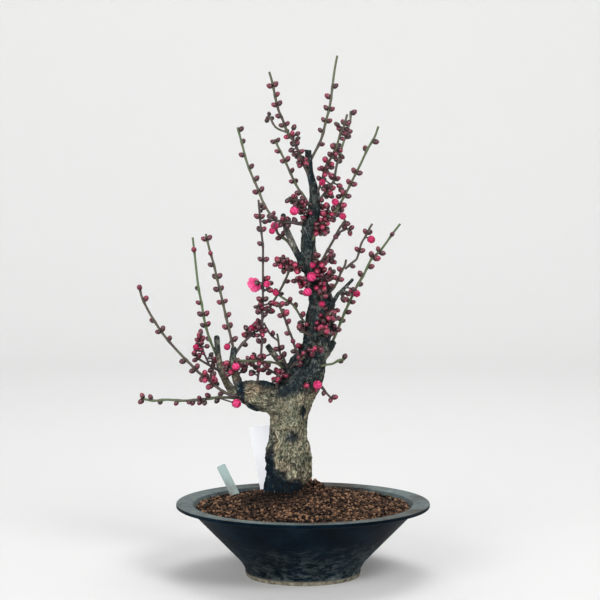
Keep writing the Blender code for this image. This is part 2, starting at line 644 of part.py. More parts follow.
def plate(width, thickness, foot, top, depth, foot_share, grown=0.0):
    """A flat label from its buried point to its square top, grown outwards all round."""
    low, high = Vector(foot), Vector(top)
    up = (high - low).normalized()
    side = up.orthogonal()
    half_top = width / 2 + grown
    half_foot = foot_share * width / 2 + grown
    shoulder = low - up * SHOULDER_BURIED
    outline = [
        low - up * (BURIED + 2 * grown),
        shoulder + side * half_foot,
        high + up * grown + side * half_top,
        high + up * grown - side * half_top,
        shoulder - side * half_foot,
    ]
    half = thickness / 2 + grown
    bm = bmesh.new()
    bm.faces.new([bm.verts.new(place(*point, depth) - Vector((0, half, 0))) for point in outline])
    made = bmesh.ops.extrude_face_region(bm, geom=bm.faces[:], use_keep_orig=True)["geom"]
    verts = [g for g in made if isinstance(g, bmesh.types.BMVert)]
    bmesh.ops.translate(bm, vec=(0, 2 * half, 0), verts=verts)
    face_outwards(bm)
    return bm


STAKE = (STAKE_WIDTH, STAKE_THICKNESS, STAKE_FOOT, STAKE_TOP, STAKE_DEPTH, 1.0)
TAG = (TAG_WIDTH, TAG_THICKNESS, TAG_FOOT, TAG_TOP, TAG_DEPTH, TAG_FOOT_SHARE)


def make_labels():
    finish("label_stake", plate(*STAKE), MARKER_GREEN, 0.5)
    finish("label_tag", plate(*TAG), LABEL_WHITE, 0.35)


def soil_height(radius, turn):
    """The mound of the soil and the grains on it."""
    share = min(radius / SOIL_EDGE_RADIUS, 1.0)
    mound = SOIL_EDGE_HEIGHT + (SOIL_CROWN_HEIGHT - SOIL_EDGE_HEIGHT) * (1 - share * share)
    at = Vector((radius * math.cos(turn), radius * math.sin(turn), 0))
    grain = noise.noise(at / LUMP_SIZE) + 0.6 * noise.noise(at / GRAIN_SIZE + Vector((5, 3, 1)))
    return mound + SOIL_RELIEF * grain * (SOIL_RIM_RELIEF if share > 0.99 else 1.0)


def make_soil():
    floor = FLOOR_HEIGHT + GAP
    net_top = floor + NET_THICKNESS + GAP
    corner = FLOOR_HEIGHT + FLOOR_CORNER
    profile = [
        (0, net_top),
        (NET_RADIUS + GAP, net_top),
        (NET_RADIUS + GAP, floor),
        (FLOOR_RADIUS - GAP, floor),
        (inner_radius(corner) - 2 * GAP, corner + GAP),
        (inner_radius(SOIL_EDGE_HEIGHT - 2) - 2 * GAP, SOIL_EDGE_HEIGHT - 2),
    ]
    top = [(SOIL_EDGE_RADIUS * (1 - i / SOIL_RINGS), SOIL_EDGE_HEIGHT) for i in range(SOIL_RINGS + 1)]
    bm = spun(profile + top, POT_SEGMENTS)
    for vert in bm.verts:
        flat = Vector((vert.co.x - POT_X, vert.co.y))
        if abs(vert.co.z - SOIL_EDGE_HEIGHT) < 0.01:
            vert.co.z = soil_height(flat.length, math.atan2(flat.y, flat.x))
    cutters = trunk_stems(GAP)[:1]
    cutters += [plate(*STAKE, GAP), plate(*TAG, GAP)]
    bm = combined(bm, cutters, "DIFFERENCE")
    keep_main_body(bm)
    return finish("soil", bm, SOIL, 0.95)


def nearest_between(a, b, point):
    """The point of the straight line from a to b that lies nearest."""
    way = b - a
    share = max(0.0, min(1.0, (point - a).dot(way) / way.length_squared))
    return a + way * share


class Neighbours:
    """What already takes up room, as balls along stems, each with the node it belongs to."""

    def __init__(self):
        self.stems = []
        self.balls = []

    def add_stem(self, node, points, radii):
        for a, b, r in zip(points, points[1:], radii):
            self.stems.append((node, a, b, r))

    def free(self, node, centre, radius):
        """Whether a ball at this place keeps clear of every other node."""
        for owner, a, b, r in self.stems:
            if owner != node and (nearest_between(a, b, centre) - centre).length < r + radius + ROOM:
                return False
        for owner, middle, r in self.balls:
            room = ROOM if owner != node else SAME_SHOOT_ROOM
            if (middle - centre).length < r + radius + room:
                return False
        return True


def shoot_radii(shoot, count):
    first, last = shoot.radii
    return [first + (last - first) * i / (count - 1) for i in range(count)]


def side_ways(way, letter, chance):
    """Directions out of a shoot to try for a bud, the wanted side first."""
    left = Vector((0, 1, 0)).cross(way)
    left = left.normalized() if left.length > 0.2 else Vector((-1, 0, 0))
    front = left.cross(way).normalized()
    if front.y > 0:
        front.negate()
    side = {"L": left, "R": -left, "F": front, "B": -front}[letter.upper()]
    wobble = chance.uniform(-TURN_SPREAD, TURN_SPREAD)
    return [Matrix.Rotation(turn + wobble, 3, way) @ side for turn in TURNS_TO_TRY]


def stem_rings(points, nodes):
    """Where a shoot's rings stand along it: a pair round each node, and its bends between."""
    total = route_length(points)
    half = BUD_FOOT / 2 / total
    rings = [share + side for share, _ in nodes for side in (-half, half)]
    run = 0.0
    for a, b in zip(points[:-1], points[1:]):
        if all(abs(run / total - ring) > BEND_APART / total for ring in rings):
            rings.append(run / total)
        run += (b - a).length
    return sorted([0.0] + [ring for ring in rings if 0.0 < ring < 1.0] + [1.0])


def budded_shoot(shoot, points, neighbours, chance):
    """A shoot with its buds, node by node, each turned clear of what grows nearby."""
    letters = shoot.nodes.split()
    first, last = shoot.span
    step = (last - first) / max(len(letters) - 1, 1)
    apart = NODES_APART / route_length(points)
    nodes = []
    for number, here in enumerate(letters):
        wander = chance.uniform(-STEP_SPREAD, STEP_SPREAD)
        share = min(first + step * (number + wander), MOST_SHARE)
        if nodes and share - nodes[-1][0] < apart:
            nodes[-1] = (nodes[-1][0], nodes[-1][1] + here)
        elif here != ".":
            nodes.append((share, here))
    rings = stem_rings(points, nodes)
    bm = tube(
        [along(points, ring)[0] for ring in rings],
        [shoot.radii[0] + (shoot.radii[1] - shoot.radii[0]) * ring for ring in rings],
        SHOOT_SIDES,
    )
    for share, here in nodes:
        at, way = along(points, share)
        thick = shoot.radii[0] + (shoot.radii[1] - shoot.radii[0]) * share
        bm.normal_update()
        band = band_of_faces(bm, at, way, thick)
        for letter in here.replace(".", ""):
            size = chance.uniform(*BUD_SIZES) * (SWELLING if letter.islower() else 1.0)
            lean = BUD_LEAN + chance.uniform(-LEAN_SPREAD, LEAN_SPREAD)
            for side in side_ways(way, letter, chance) if band else ():
                face = max(band, key=lambda f: f.normal.dot(side))
                foot = face.calc_center_median()
                out = (way * math.cos(lean) + face.normal * math.sin(lean)).normalized()
                middle = foot + out * (0.5 * BUD_LENGTH * size)
                if neighbours.free(shoot.name, middle, 0.52 * BUD_LENGTH * size):
                    neighbours.balls.append((shoot.name, middle, 0.5 * BUD_LENGTH * size))
                    band.remove(face)
                    draw_out_bud(bm, face, out, BUD_LENGTH * size, BUD_WIDTH * size)
                    break
    return bm


def petal_ball(centre, way, radius, segments, rings, cut):
    """A swelling flower: a ball of five petals that lap over each other, flat at its foot."""
    bm = bmesh.new()
    bmesh.ops.create_uvsphere(bm, u_segments=segments, v_segments=rings, radius=radius)
    for vert in bm.verts:
        turn = math.atan2(vert.co.y, vert.co.x) / math.tau * PETALS
        turn += PETAL_TWIST * vert.co.z / radius
        rise = vert.co.xy.length / radius
        lap = turn - math.floor(turn)
        vert.co.xy *= 1 - PETAL_LAP * rise * (1 - lap)
    if cut:
        made = bmesh.ops.bisect_plane(
            bm, geom=bm.verts[:] + bm.edges[:] + bm.faces[:],
            plane_co=(0, 0, -BALL_FLAT * radius), plane_no=(0, 0, -1), clear_outer=True,
        )
        rim = [g for g in made["geom_cut"] if isinstance(g, bmesh.types.BMEdge)]
        bmesh.ops.contextual_create(bm, geom=rim)
    turn = Vector((0, 0, 1)).rotation_difference(way).to_matrix().to_4x4()
    bm.transform(Matrix.Translation(centre) @ turn)
    face_outwards(bm)
    return bm


def flower_stem(shoot, points, at, forward, radius):
    """Foot, middle and direction of a flower that grows from the nearest point of a shoot."""
    first = shoot.span[0]
    share = min(
        (first + (1 - first) * step / PLACES_TO_TRY for step in range(PLACES_TO_TRY + 1)),
        key=lambda s: (Vector(at) - seen_from_front(along(points, s)[0])).length,
    )
    foot = along(points, share)[0]
    centre = place(*at, foot.y - forward)
    least = radius + CALYX_LENGTH + STALK_LEAST
    way = centre - foot
    if way.length < least:
        centre = foot + way.normalized() * least
    return foot, centre, (centre - foot).normalized()


def seen_from_front(point):
    """The inverse of place(): where a point shows from the front."""
    reach = (SIGHT_DISTANCE + point.y) / SIGHT_DISTANCE
    return Vector(((point.x - POT_X) / reach, SIGHT_HEIGHT + (point.z - SIGHT_HEIGHT) / reach))


def stalk_and_calyx(foot, way, reach):
    """The short stalk of a flower and the cup that holds its petals, up to a reach."""
    stalk = tube([foot, foot + way * (reach - CALYX_LENGTH + 0.3)], (STALK_RADIUS, STALK_RADIUS), 5)
    cup_foot = foot + way * (reach - CALYX_LENGTH)
    cup = tube([cup_foot, foot + way * reach], (0.55 * CALYX_RADIUS, CALYX_RADIUS), 6)
    return [stalk, cup]


def open_flower(centre, way):
    """Five round cupped petals on a small dome, with stamens standing in the middle."""
    petals = []
    for number in range(PETALS):
        petal = bmesh.new()
        bmesh.ops.create_circle(petal, cap_ends=True, segments=7, radius=PETAL_RADIUS)
        bmesh.ops.poke(petal, faces=petal.faces[:])
        for vert in petal.verts:
            vert.co.x += PETAL_OUT * PETAL_RADIUS
            reach = vert.co.xy.length / (2 * PETAL_RADIUS)
            across = vert.co.y / PETAL_RADIUS
            vert.co.z = PETAL_RISE * reach * reach + PETAL_SPOON * across * across
            vert.co.z += PETAL_TILT * vert.co.y
        bmesh.ops.solidify(petal, geom=petal.faces[:], thickness=PETAL_THICKNESS)
        petal.transform(Matrix.Rotation(math.tau * number / PETALS, 4, "Z"))
        face_outwards(petal)
        petals.append(petal)
    dome = bmesh.new()
    bmesh.ops.create_cone(
        dome, cap_ends=True, segments=8, radius1=DOME_RADIUS, radius2=0.75 * DOME_RADIUS,
        depth=DOME_HEIGHT, matrix=Matrix.Translation((0, 0, 0.05 * DOME_HEIGHT)),
    )
    for number in range(STAMENS):
        turn = math.tau * (number + 0.25) / STAMENS
        out = Vector((math.cos(turn), math.sin(turn), 0))
        lean = (out + Vector((0, 0, 2.1))).normalized()
        foot = out * STAMEN_RING + Vector((0, 0, 0.25 * DOME_HEIGHT))
        points = [foot, foot + lean * (0.8 * STAMEN_LENGTH), foot + lean * STAMEN_LENGTH]
        petals.append(tube(points, (STAMEN_RADIUS, STAMEN_RADIUS, ANTHER_RADIUS), 3))
    bm = combined(dome, petals, "UNION")
    keep_main_body(bm)
    turn = Vector((0, 0, 1)).rotation_difference(way).to_matrix().to_4x4()
    bm.transform(Matrix.Translation(centre) @ turn)
    return bm


def make_growth():
    """Every shoot and spur with its buds, and the flowers on them."""
    chance = random.Random(SEED)
    neighbours = Neighbours()
    routes = [(shoot, spread_depths(shoot.route, shoot.depths)) for shoot in SHOOTS + SPURS]
    for shoot, points in routes:
        neighbours.add_stem(shoot.name, points, shoot_radii(shoot, len(points)))
    flowers = []
    for bloom in BLOOMS:
        shoot, points = [route for route in routes if route[0].name == bloom.host][bloom.twig]
        foot, centre, way = flower_stem(shoot, points, bloom.at, bloom.forward, bloom.radius)
        neighbours.balls.append((bloom.name or bloom.host, centre, bloom.radius))
        flowers.append((bloom, foot, centre, way))
    grown = {}
    for shoot, points in routes:
        grown.setdefault(shoot.name, []).append(budded_shoot(shoot, points, neighbours, chance))
    for bloom, foot, centre, way in flowers:
        reach = (centre - foot).length
        if bloom.name:
            top = reach - BALL_FLAT * bloom.radius - GAP
            grown[bloom.host].extend(stalk_and_calyx(foot, way, top))
            ball = petal_ball(centre, way, bloom.radius, 10, 6, True)
            finish(bloom.name, ball, PETAL_PINK, 0.55)
        else:
            grown[bloom.host].extend(stalk_and_calyx(foot, way, reach - 0.7 * bloom.radius))
            grown[bloom.host].append(petal_ball(centre, way, bloom.radius, 10, 5, False))
    shoot, points = next(route for route in routes if route[0].name == OPEN_FLOWER_HOST)
    foot, centre, way = flower_stem(shoot, points, OPEN_FLOWER_AT, OPEN_FLOWER_FORWARD, 2.0)
    facing = Vector(OPEN_FLOWER_FACING).normalized()
    grown[OPEN_FLOWER_HOST].append(tube([foot, centre - facing * 2.6], (STALK_RADIUS, STALK_RADIUS), 5))
    grown[OPEN_FLOWER_HOST].append(
        tube([centre - facing * 2.9, centre - facing * (0.9 + GAP)], (1.1, 1.9), 6)
    )
    finish("bloom_open", open_flower(centre, facing), PETAL_PINK, 0.5)
    for name, parts in grown.items():
        bm = combined(parts[0], parts[1:], "UNION")
        bm = combined(bm, [old_wood(GAP)], "DIFFERENCE")
        keep_main_body(bm)
        finish(name, bm, BUD_RED if name.startswith("spur") else BARK_YOUNG, 0.6)


def main():
    for thing in list(bpy.data.objects):
        bpy.data.objects.remove(thing)
    make_pot()
    make_drain_net()
    make_soil()
    make_labels()
    finish("trunk", old_wood(), BARK_OLD, 0.9)
    make_growth()


main()
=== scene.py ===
# %% [markdown]
# # A flowering apricot bonsai in its round flared pot
#
# The real thing is an old Prunus mume, cut back hard for many years and grown in a wide
# clay pot. Its wood is of two ages. The trunk and its heavy limb are thick, fissured and
# dark, and the shoots of the last summer are thin, smooth and green. All along them sit
# round wine-red flower buds, and a few of the largest have begun to open pink.
#
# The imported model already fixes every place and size. This lesson loads it as a frame and
# puts a finely made piece over each of its parts. All lengths below are in millimetres,
# and `MM` turns them to metres where a mesh is made.

import math
import random
from collections import namedtuple

import bmesh
import bpy
from mathutils import Matrix, Vector, noise
from mathutils.bvhtree import BVHTree
from mathutils.kdtree import KDTree


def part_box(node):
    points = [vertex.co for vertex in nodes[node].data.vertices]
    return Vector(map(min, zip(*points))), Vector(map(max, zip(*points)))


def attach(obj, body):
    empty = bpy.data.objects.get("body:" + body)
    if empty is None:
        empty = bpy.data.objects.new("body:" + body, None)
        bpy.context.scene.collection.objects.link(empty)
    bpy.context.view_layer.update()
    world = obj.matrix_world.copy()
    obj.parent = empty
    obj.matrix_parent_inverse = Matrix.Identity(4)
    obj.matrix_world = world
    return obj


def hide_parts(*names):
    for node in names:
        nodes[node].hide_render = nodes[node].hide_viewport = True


MM = 0.001
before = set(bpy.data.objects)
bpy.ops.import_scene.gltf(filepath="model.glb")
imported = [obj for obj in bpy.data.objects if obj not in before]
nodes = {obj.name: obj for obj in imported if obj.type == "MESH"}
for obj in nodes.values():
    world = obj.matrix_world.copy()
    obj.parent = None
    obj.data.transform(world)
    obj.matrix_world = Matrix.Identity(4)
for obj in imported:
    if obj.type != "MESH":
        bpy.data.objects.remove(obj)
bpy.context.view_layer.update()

# %% [markdown]
# ## Points as they look from the front
#
# A tree's branches are easiest to describe as they look from its front: so far right of
# the pot's axis, so far up. A branch also reaches towards the viewer or away. If it were
# simply pushed back, perspective would make it look smaller and shift it. So `place` moves
# each point along the line of sight that it shows on, and the drawing stays as it was.

# %% A point from its place in the front view
POT_LOW, POT_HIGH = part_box("pot")
POT_X = (POT_LOW.x + POT_HIGH.x) / 2 / MM
SIGHT_DISTANCE = 1850.0
SIGHT_HEIGHT = 389.0


def place(x, z, depth):
    """The point, in mm, that shows at x, z from the front and lies at its own depth."""
    reach = (SIGHT_DISTANCE + depth) / SIGHT_DISTANCE
    return Vector((POT_X + x * reach, depth, SIGHT_HEIGHT + (z - SIGHT_HEIGHT) * reach))


print("the pot's axis stands", round(POT_X, 2), "mm right of the model's middle")

# %% [markdown]
# ## The camera
#
# The tree is seen from the front, from a little above its middle, through a long lens,
# which keeps the pot's rim a flat ellipse and shows every branch at its true height. The
# camera looks a little down, and its picture is shifted slightly besides, as a view camera
# does, so that upright stems stay upright in the picture.

# %% Set up the camera
CAMERA_SIDE = -3.0
CAMERA_DOWN = math.radians(2.385)
CAMERA_SHIFT = -0.06
LENS = 111.3

camera = bpy.data.objects.new("camera", bpy.data.cameras.new("camera"))
bpy.context.scene.collection.objects.link(camera)
camera.location = Vector((POT_X + CAMERA_SIDE, -SIGHT_DISTANCE, SIGHT_HEIGHT)) * MM
camera.rotation_euler = (math.pi / 2 - CAMERA_DOWN, 0, 0)
camera.data.lens = LENS
camera.data.sensor_width = 36
camera.data.shift_y = CAMERA_SHIFT
camera.data.clip_end = 20
bpy.context.scene.camera = camera
print("the camera stands", round(camera.location.z, 3), "m above the floor")

# %% [markdown]
# ## Tools for colours and materials
#
# Colours are written as sRGB hex codes, the way a paint program shows them. A renderer
# adds up light, so it needs linear values, and `srgb` turns one into the other. A material
# is a tree of nodes, and `add` puts one node into it with its settings and its links. The
# Mix node is an odd one: its colour inputs have the numbers 6 and 7, and its colour output
# has the number 2. The scale of a pattern counts its waves in a metre, and `every` works
# it out from the size of the real marks, which one can measure.

# %% Colour and node helpers


def srgb(code):
    """A hex colour as the linear red, green, blue and alpha that a shader wants."""
    parts = [int(code[i:i + 2], 16) / 255 for i in (1, 3, 5)]
    linear = [c / 12.92 if c <= 0.04045 else ((c + 0.055) / 1.055) ** 2.4 for c in parts]
    return (*linear, 1.0)


def every(size):
    """The scale of a pattern whose marks are this many mm apart, to two digits."""
    return float(f"{1 / (size * MM):.2g}")


def add(tree, kind, sockets=None, stops=(), **settings):
    """Adds a node. Each socket is given a value or another node's output, by name or number."""
    made = tree.nodes.new("ShaderNode" + kind)
    for name, value in settings.items():
        setattr(made, name, value)
    for name, value in (sockets or {}).items():
        if isinstance(value, bpy.types.NodeSocket):
            tree.links.new(value, made.inputs[name])
        else:
            made.inputs[name].default_value = value
    for number, (position, colour) in enumerate(stops):
        ramp = made.color_ramp.elements
        stop = ramp[number] if number < len(ramp) else ramp.new(position)
        stop.position = position
        stop.color = srgb(colour)
    return made


def new_material(name, **values):
    """A material, its node tree, its shader and the piece's own coordinates in metres."""
    made = bpy.data.materials.new(name)
    made.use_nodes = True
    tree = made.node_tree
    shader = tree.nodes["Principled BSDF"]
    for socket, value in values.items():
        shader.inputs[socket.replace("_", " ").title().replace("Ior", "IOR")].default_value = value
    return made, tree, shader, add(tree, "TexCoord").outputs["Object"]


print("mid grey is", [round(c, 3) for c in srgb("#808080")], "in linear light")
print("marks 5 mm apart need a scale of", every(5))

# %% [markdown]
# ## Tools for meshes and pieces
#
# Shapes are modelled in millimetres as a bmesh, which operators can spin, cut and round.
# A finished one becomes a mesh in metres on an object of its own, which rides with the
# model. It stands for the parts of the model that it covers, and those are then hidden.

# %% Mesh and piece helpers


def as_mesh(name, bm):
    """Turns a bmesh into a mesh and clears it away."""
    mesh = bpy.data.meshes.new(name)
    bm.to_mesh(mesh)
    bm.free()
    return mesh


def new_piece(name, bm, materials, replaced=(), sharp=None):
    """Makes a shape in mm a piece that rides with the model and stands for its nodes."""
    bmesh.ops.scale(bm, vec=(MM,) * 3, verts=bm.verts)
    mesh = as_mesh(name, bm)
    mesh.shade_smooth()
    if sharp is not None:
        mesh.set_sharp_from_angle(angle=math.radians(sharp))
    for one in materials:
        mesh.materials.append(one)
    piece = bpy.data.objects.new(name, mesh)
    bpy.context.scene.collection.objects.link(piece)
    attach(piece, "root")
    if replaced:
        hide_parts(*replaced)
    print(name, "has", len(mesh.polygons), "faces")
    return piece


def merged_copy(node):
    """A node's mesh as a bmesh in mm, its loose triangles joined at their corners."""
    bm = bmesh.new()
    bm.from_mesh(nodes[node].data)
    bmesh.ops.remove_doubles(bm, verts=bm.verts, dist=0.001 * MM)
    bmesh.ops.scale(bm, vec=(1 / MM,) * 3, verts=bm.verts)
    return bm


print("the packed pot has", len(nodes["pot"].data.polygons), "faces")

# %% [markdown]
# ## The pot: dark unglazed clay
#
# The pot was thrown on a wheel: a foot ring, a straight flaring wall and a flat lip turned
# outwards. Anything thrown or turned is one outline spun round an axis, so that is how it
# is made here. The outline goes once round the section: from the foot's inner edge up the
# outside, over the lip and down the inside.

# %% The pot's outline
RIM_RADIUS = (POT_HIGH.x - POT_LOW.x) / 2 / MM
RIM_HEIGHT = POT_HIGH.z / MM
LIP_INNER = RIM_RADIUS - 16.5
LIP_UNDER = RIM_HEIGHT - 4.4
FOOT_RADIUS = 57.0
FOOT_RING_WIDTH = 7.5
FOOT_RECESS = 5.0
WALL_TOP = (112.5, 66.2)
KNEE = (63.5, 16.0)
INNER_TOP = (105.2, 66.0)
INNER_FOOT = (51.4, 12.5)
DRAIN_RADIUS = 12.0

# Radius and height of each corner
POT_OUTLINE = [
    (FOOT_RADIUS - FOOT_RING_WIDTH, 0.0),
    (FOOT_RADIUS, 0.0),
    (FOOT_RADIUS + 1.2, 5.4),
    (FOOT_RADIUS + 0.4, 6.4),
    (FOOT_RADIUS + 1.6, 8.2),
    (FOOT_RADIUS + 4.0, 12.6),
    KNEE,
    WALL_TOP,
    (WALL_TOP[0] + 3.6, LIP_UNDER),
    (RIM_RADIUS, LIP_UNDER + 0.9),
    (RIM_RADIUS, RIM_HEIGHT),
    (LIP_INNER, RIM_HEIGHT - 1.0),
    INNER_TOP,
    INNER_FOOT,
    (DRAIN_RADIUS, 12.0),
    (DRAIN_RADIUS, FOOT_RECESS),
    (FOOT_RADIUS - FOOT_RING_WIDTH - 1.4, FOOT_RECESS),
]
print("the outline has", len(POT_OUTLINE), "corners and a rim", 2 * RIM_RADIUS, "mm across")

# %% [markdown]
# ## Spinning the pot
#
# The long edges of the outline are cut into short ones first, because the potter's fingers
# leave faint rings in the wall, and rings need points to live on. The corners are rounded
# after the spin by a bevel, as a wet sponge rounds clay. Last, each point moves a little in
# or out, by a wave that climbs the wall and by broad uneven patches.

# %% Spin the pot and round its corners
POT_SEGMENTS = 160
OUTLINE_STEP = 1.6
CORNER_ANGLE = 20
CORNER_ROUNDING = 0.8
RING_PITCH = 3.1
RING_DEPTH = 0.16
RING_WANDER = 3
PATCH_SIZE = 21
OFF_WALL = 0.25


def turned(outline, segments, cut_every):
    """A body turned about the pot's axis, its long outline edges cut into short ones."""
    bm = bmesh.new()
    verts = [bm.verts.new((r, 0, z)) for r, z in outline]
    for pair in zip(verts, verts[1:] + verts[:1]):
        bm.edges.new(pair)
    for edge in bm.edges[:]:
        cuts = int(edge.calc_length() / cut_every) - 1
        if cuts > 0:
            bmesh.ops.subdivide_edges(bm, edges=[edge], cuts=cuts)
    bmesh.ops.spin(
        bm, geom=bm.edges[:], cent=(0, 0, 0), axis=(0, 0, 1), dvec=(0, 0, 0),
        angle=math.tau, steps=segments, use_merge=True,
    )
    bmesh.ops.remove_doubles(bm, verts=bm.verts, dist=0.01)
    bmesh.ops.recalc_face_normals(bm, faces=bm.faces)
    return bm


pot = turned(POT_OUTLINE, POT_SEGMENTS, OUTLINE_STEP)
corners = [edge for edge in pot.edges if edge.calc_face_angle(0) > math.radians(CORNER_ANGLE)]
bmesh.ops.bevel(
    pot, geom=corners, offset=CORNER_ROUNDING, offset_type="OFFSET", segments=3,
    profile=0.5, affect="EDGES", material=-1, clamp_overlap=True,
)
for vert in pot.verts:
    outward = Vector((vert.co.x, vert.co.y, 0)).normalized()
    wander = RING_WANDER * noise.noise(outward * 0.7)
    wave = math.sin(math.tau * vert.co.z / RING_PITCH + wander)
    patch = noise.noise(vert.co / PATCH_SIZE)
    on_wall = 1.0 if KNEE[1] < vert.co.z < WALL_TOP[1] else OFF_WALL
    vert.co += outward * RING_DEPTH * on_wall * (wave * (0.6 + patch) + 1.2 * patch)
    vert.co += Vector((POT_X, 0, 0))
print("the bevel rounded", len(corners), "edges")

# %% [markdown]
# ## The pot's finish
#
# The clay is rich in iron and was fired with little air, so it is blue-black all through
# and has a dull satin skin with no glaze. Hard water has left pale dust on the lip, with a
# few brown stains, and the lip's top, which faces up to the lights, gets painted light as
# well. A painted picture could show all this, but it would stretch on the lip and blur
# close up. So each mark is one mask over the dark body colour, made of noise at the size
# of the real marks, and the shape decides where it lies.

# %% Dark clay with dust and painted light on its lip
dark_clay, tree, shader, here = new_material("reduction_fired_clay", roughness=0.55,
                                             specular_ior_level=0.06, specular_tint=srgb("#7fb2d8"))
broad = add(tree, "TexNoise", {"Vector": here, "Scale": every(45), "Detail": 6.0, "Roughness": 0.6})
body = add(tree, "ValToRGB", {"Fac": broad.outputs["Fac"]},
           stops=((0.30, "#02070c"), (0.52, "#04101a"), (0.72, "#0f202b")))
facing = add(tree, "SeparateXYZ", {"Vector": add(tree, "NewGeometry").outputs["Normal"]})
# Skin that faces up is lightened: painted light on the lip's top, mixed with its real dust.
upward_light_mask = add(tree, "MapRange", {"Value": facing.outputs["Z"], "From Min": 0.35, "From Max": 0.95})
fine = add(tree, "TexNoise", {"Vector": here, "Scale": every(6.25), "Detail": 5.0, "Roughness": 0.7})
even = add(tree, "MapRange", {"Value": fine.outputs["Fac"], "From Min": 0.25, "From Max": 0.75,
                              "To Min": 0.32, "To Max": 1.0})
dust_and_painted_light = add(tree, "Math", {0: upward_light_mask.outputs["Result"], 1: even.outputs["Result"]}, operation="MULTIPLY")
stain = add(tree, "TexNoise", {"Vector": here, "Scale": every(77), "Detail": 3.0, "Roughness": 0.5})
stained = add(tree, "MapRange", {"Value": stain.outputs["Fac"], "From Min": 0.50, "From Max": 0.64})
dust_and_light_tone = add(tree, "Mix", {0: stained.outputs["Result"], 6: srgb("#75817f"), 7: srgb("#4f4a44")},
                data_type="RGBA")
lip_tone = add(tree, "Mix", {0: dust_and_painted_light.outputs["Value"], 6: body.outputs["Color"],
                             7: dust_and_light_tone.outputs[2]}, data_type="RGBA")
print("body and dust take", len(tree.nodes), "nodes")

# %% [markdown]
# ## Scuffs and the bare foot
#
# Low on the wall, pale scuffs show where the pot was pushed about, more of them on its
# right. The very edge of the foot was wiped clean before firing and stays bare buff clay.
# Height and side come from the pot's own coordinates, and a fine noise frays each border,
# because a straight one would look painted. The noise of the scuffs is pressed flat, since
# they run round the wall.

# %% Scuffs, the bare foot and the skin
height = add(tree, "SeparateXYZ", {"Vector": here})
streaks = add(tree, "TexNoise", {
    "Vector": add(tree, "Mapping", {"Vector": here, "Scale": (1.0, 1.0, 2.2)}).outputs["Vector"],
    "Scale": every(11.8), "Detail": 9.0, "Roughness": 0.78, "Distortion": 0.5})
scuff = add(tree, "MapRange", {"Value": streaks.outputs["Fac"], "From Min": 0.47, "From Max": 0.72,
                               "To Max": 0.75})
low_wall = add(tree, "MapRange", {"Value": height.outputs["Z"], "From Min": 0.047, "From Max": 0.010})
worn_side = add(tree, "MapRange", {"Value": height.outputs["X"], "From Min": -0.02, "From Max": 0.09,
                                   "To Min": 0.45, "To Max": 1.0})
worn = add(tree, "Math", {0: low_wall.outputs["Result"], 1: worn_side.outputs["Result"]},
           operation="MULTIPLY")
scuffed = add(tree, "Math", {0: scuff.outputs["Result"], 1: worn.outputs["Value"]},
              operation="MULTIPLY")
dust = add(tree, "Mix", {0: scuffed.outputs["Value"], 6: lip_tone.outputs[2], 7: srgb("#889493")},
           data_type="RGBA")
wobble = add(tree, "Math", {0: fine.outputs["Fac"], 1: 0.004}, operation="MULTIPLY")
edge_height = add(tree, "Math", {0: height.outputs["Z"], 1: wobble.outputs["Value"]}, operation="ADD")
bare = add(tree, "MapRange", {"Value": edge_height.outputs["Value"], "From Min": 0.0070,
                              "From Max": 0.0052})
bare_tone = add(tree, "ValToRGB", {"Fac": fine.outputs["Fac"]},
                stops=((0.35, "#4b4840"), (0.55, "#8b8574"), (0.70, "#a59d88")))
clay_tone = add(tree, "Mix", {0: bare.outputs["Result"], 6: dust.outputs[2],
                              7: bare_tone.outputs["Color"]}, data_type="RGBA")
tree.links.new(clay_tone.outputs[2], shader.inputs["Base Color"])
grit = add(tree, "TexNoise", {"Vector": here, "Scale": every(1.11), "Detail": 4.0})
skin = add(tree, "Bump", {"Height": grit.outputs["Fac"], "Strength": 0.35, "Distance": 0.0003})
tree.links.new(skin.outputs["Normal"], shader.inputs["Normal"])
new_piece("pot_thrown", pot, [dark_clay], ["pot"], sharp=60)

# %% [markdown]
# ## The soil: baked clay granules
#
# Bonsai grow in akadama, a reddish clay dug in Japan, dried and sieved to even granules of
# 3 to 4 mm. It is hard to paint such a surface, because every granule casts a shadow, so
# each granule is a small lump of its own. Eight lumps are shaped from a ball of twenty
# faces and set down some thousands of times, turned and sized at random. Few faces each
# are enough, since no granule is more than four dots wide in the picture.

# %% Shape the granules
GRANULE_KINDS = 8

chance = random.Random(31)


def granule(seed):
    """A lump like a broken crumb of dry clay, about 1 mm in radius."""
    bm = bmesh.new()
    bmesh.ops.create_icosphere(bm, subdivisions=1, radius=1)
    for vert in bm.verts:
        vert.co *= 1 + 0.3 * noise.noise(vert.co * 1.7 + Vector((seed * 7.0, 0, 0)))
    bmesh.ops.scale(bm, vec=(1.1, 0.95, 0.8), verts=bm.verts)
    return as_mesh(f"granule_{seed}", bm)


granules = [granule(seed) for seed in range(GRANULE_KINDS)]
print("a granule has", len(granules[0].polygons), "faces")

# %% [markdown]
# ## Laying the granules
#
# The granules lie in rows like eggs in a box, each pushed aside a little at random. A ray
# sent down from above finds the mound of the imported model, so that each one lies on it.
# Past the mound's edge they lie level, up to the pot's wall. None goes into the trunk. At
# last a handful is heaped against the trunk's right foot, as the grower left it.

# %% Lay them on the mound
GRANULE_SPACING = 2.5
GRANULE_SIZES = (0.95, 1.9)
ROW_SHARE = 0.866
PUSHED = 1.1
TILTED = 0.7
RAISED = (-0.7, 1.3)
SOIL_RADIUS = 107.5
SOIL_EDGE = 68.5
SOIL_LOWEST = 60
TRUNK_CLEAR = 1.0


def ray_down(tree_of_faces, x, y, top=140.0):
    """The height at which a mesh is met from above, or None."""
    hit = tree_of_faces.ray_cast(Vector((x, y, top)), Vector((0, 0, -1)))[0]
    return None if hit is None else hit.z


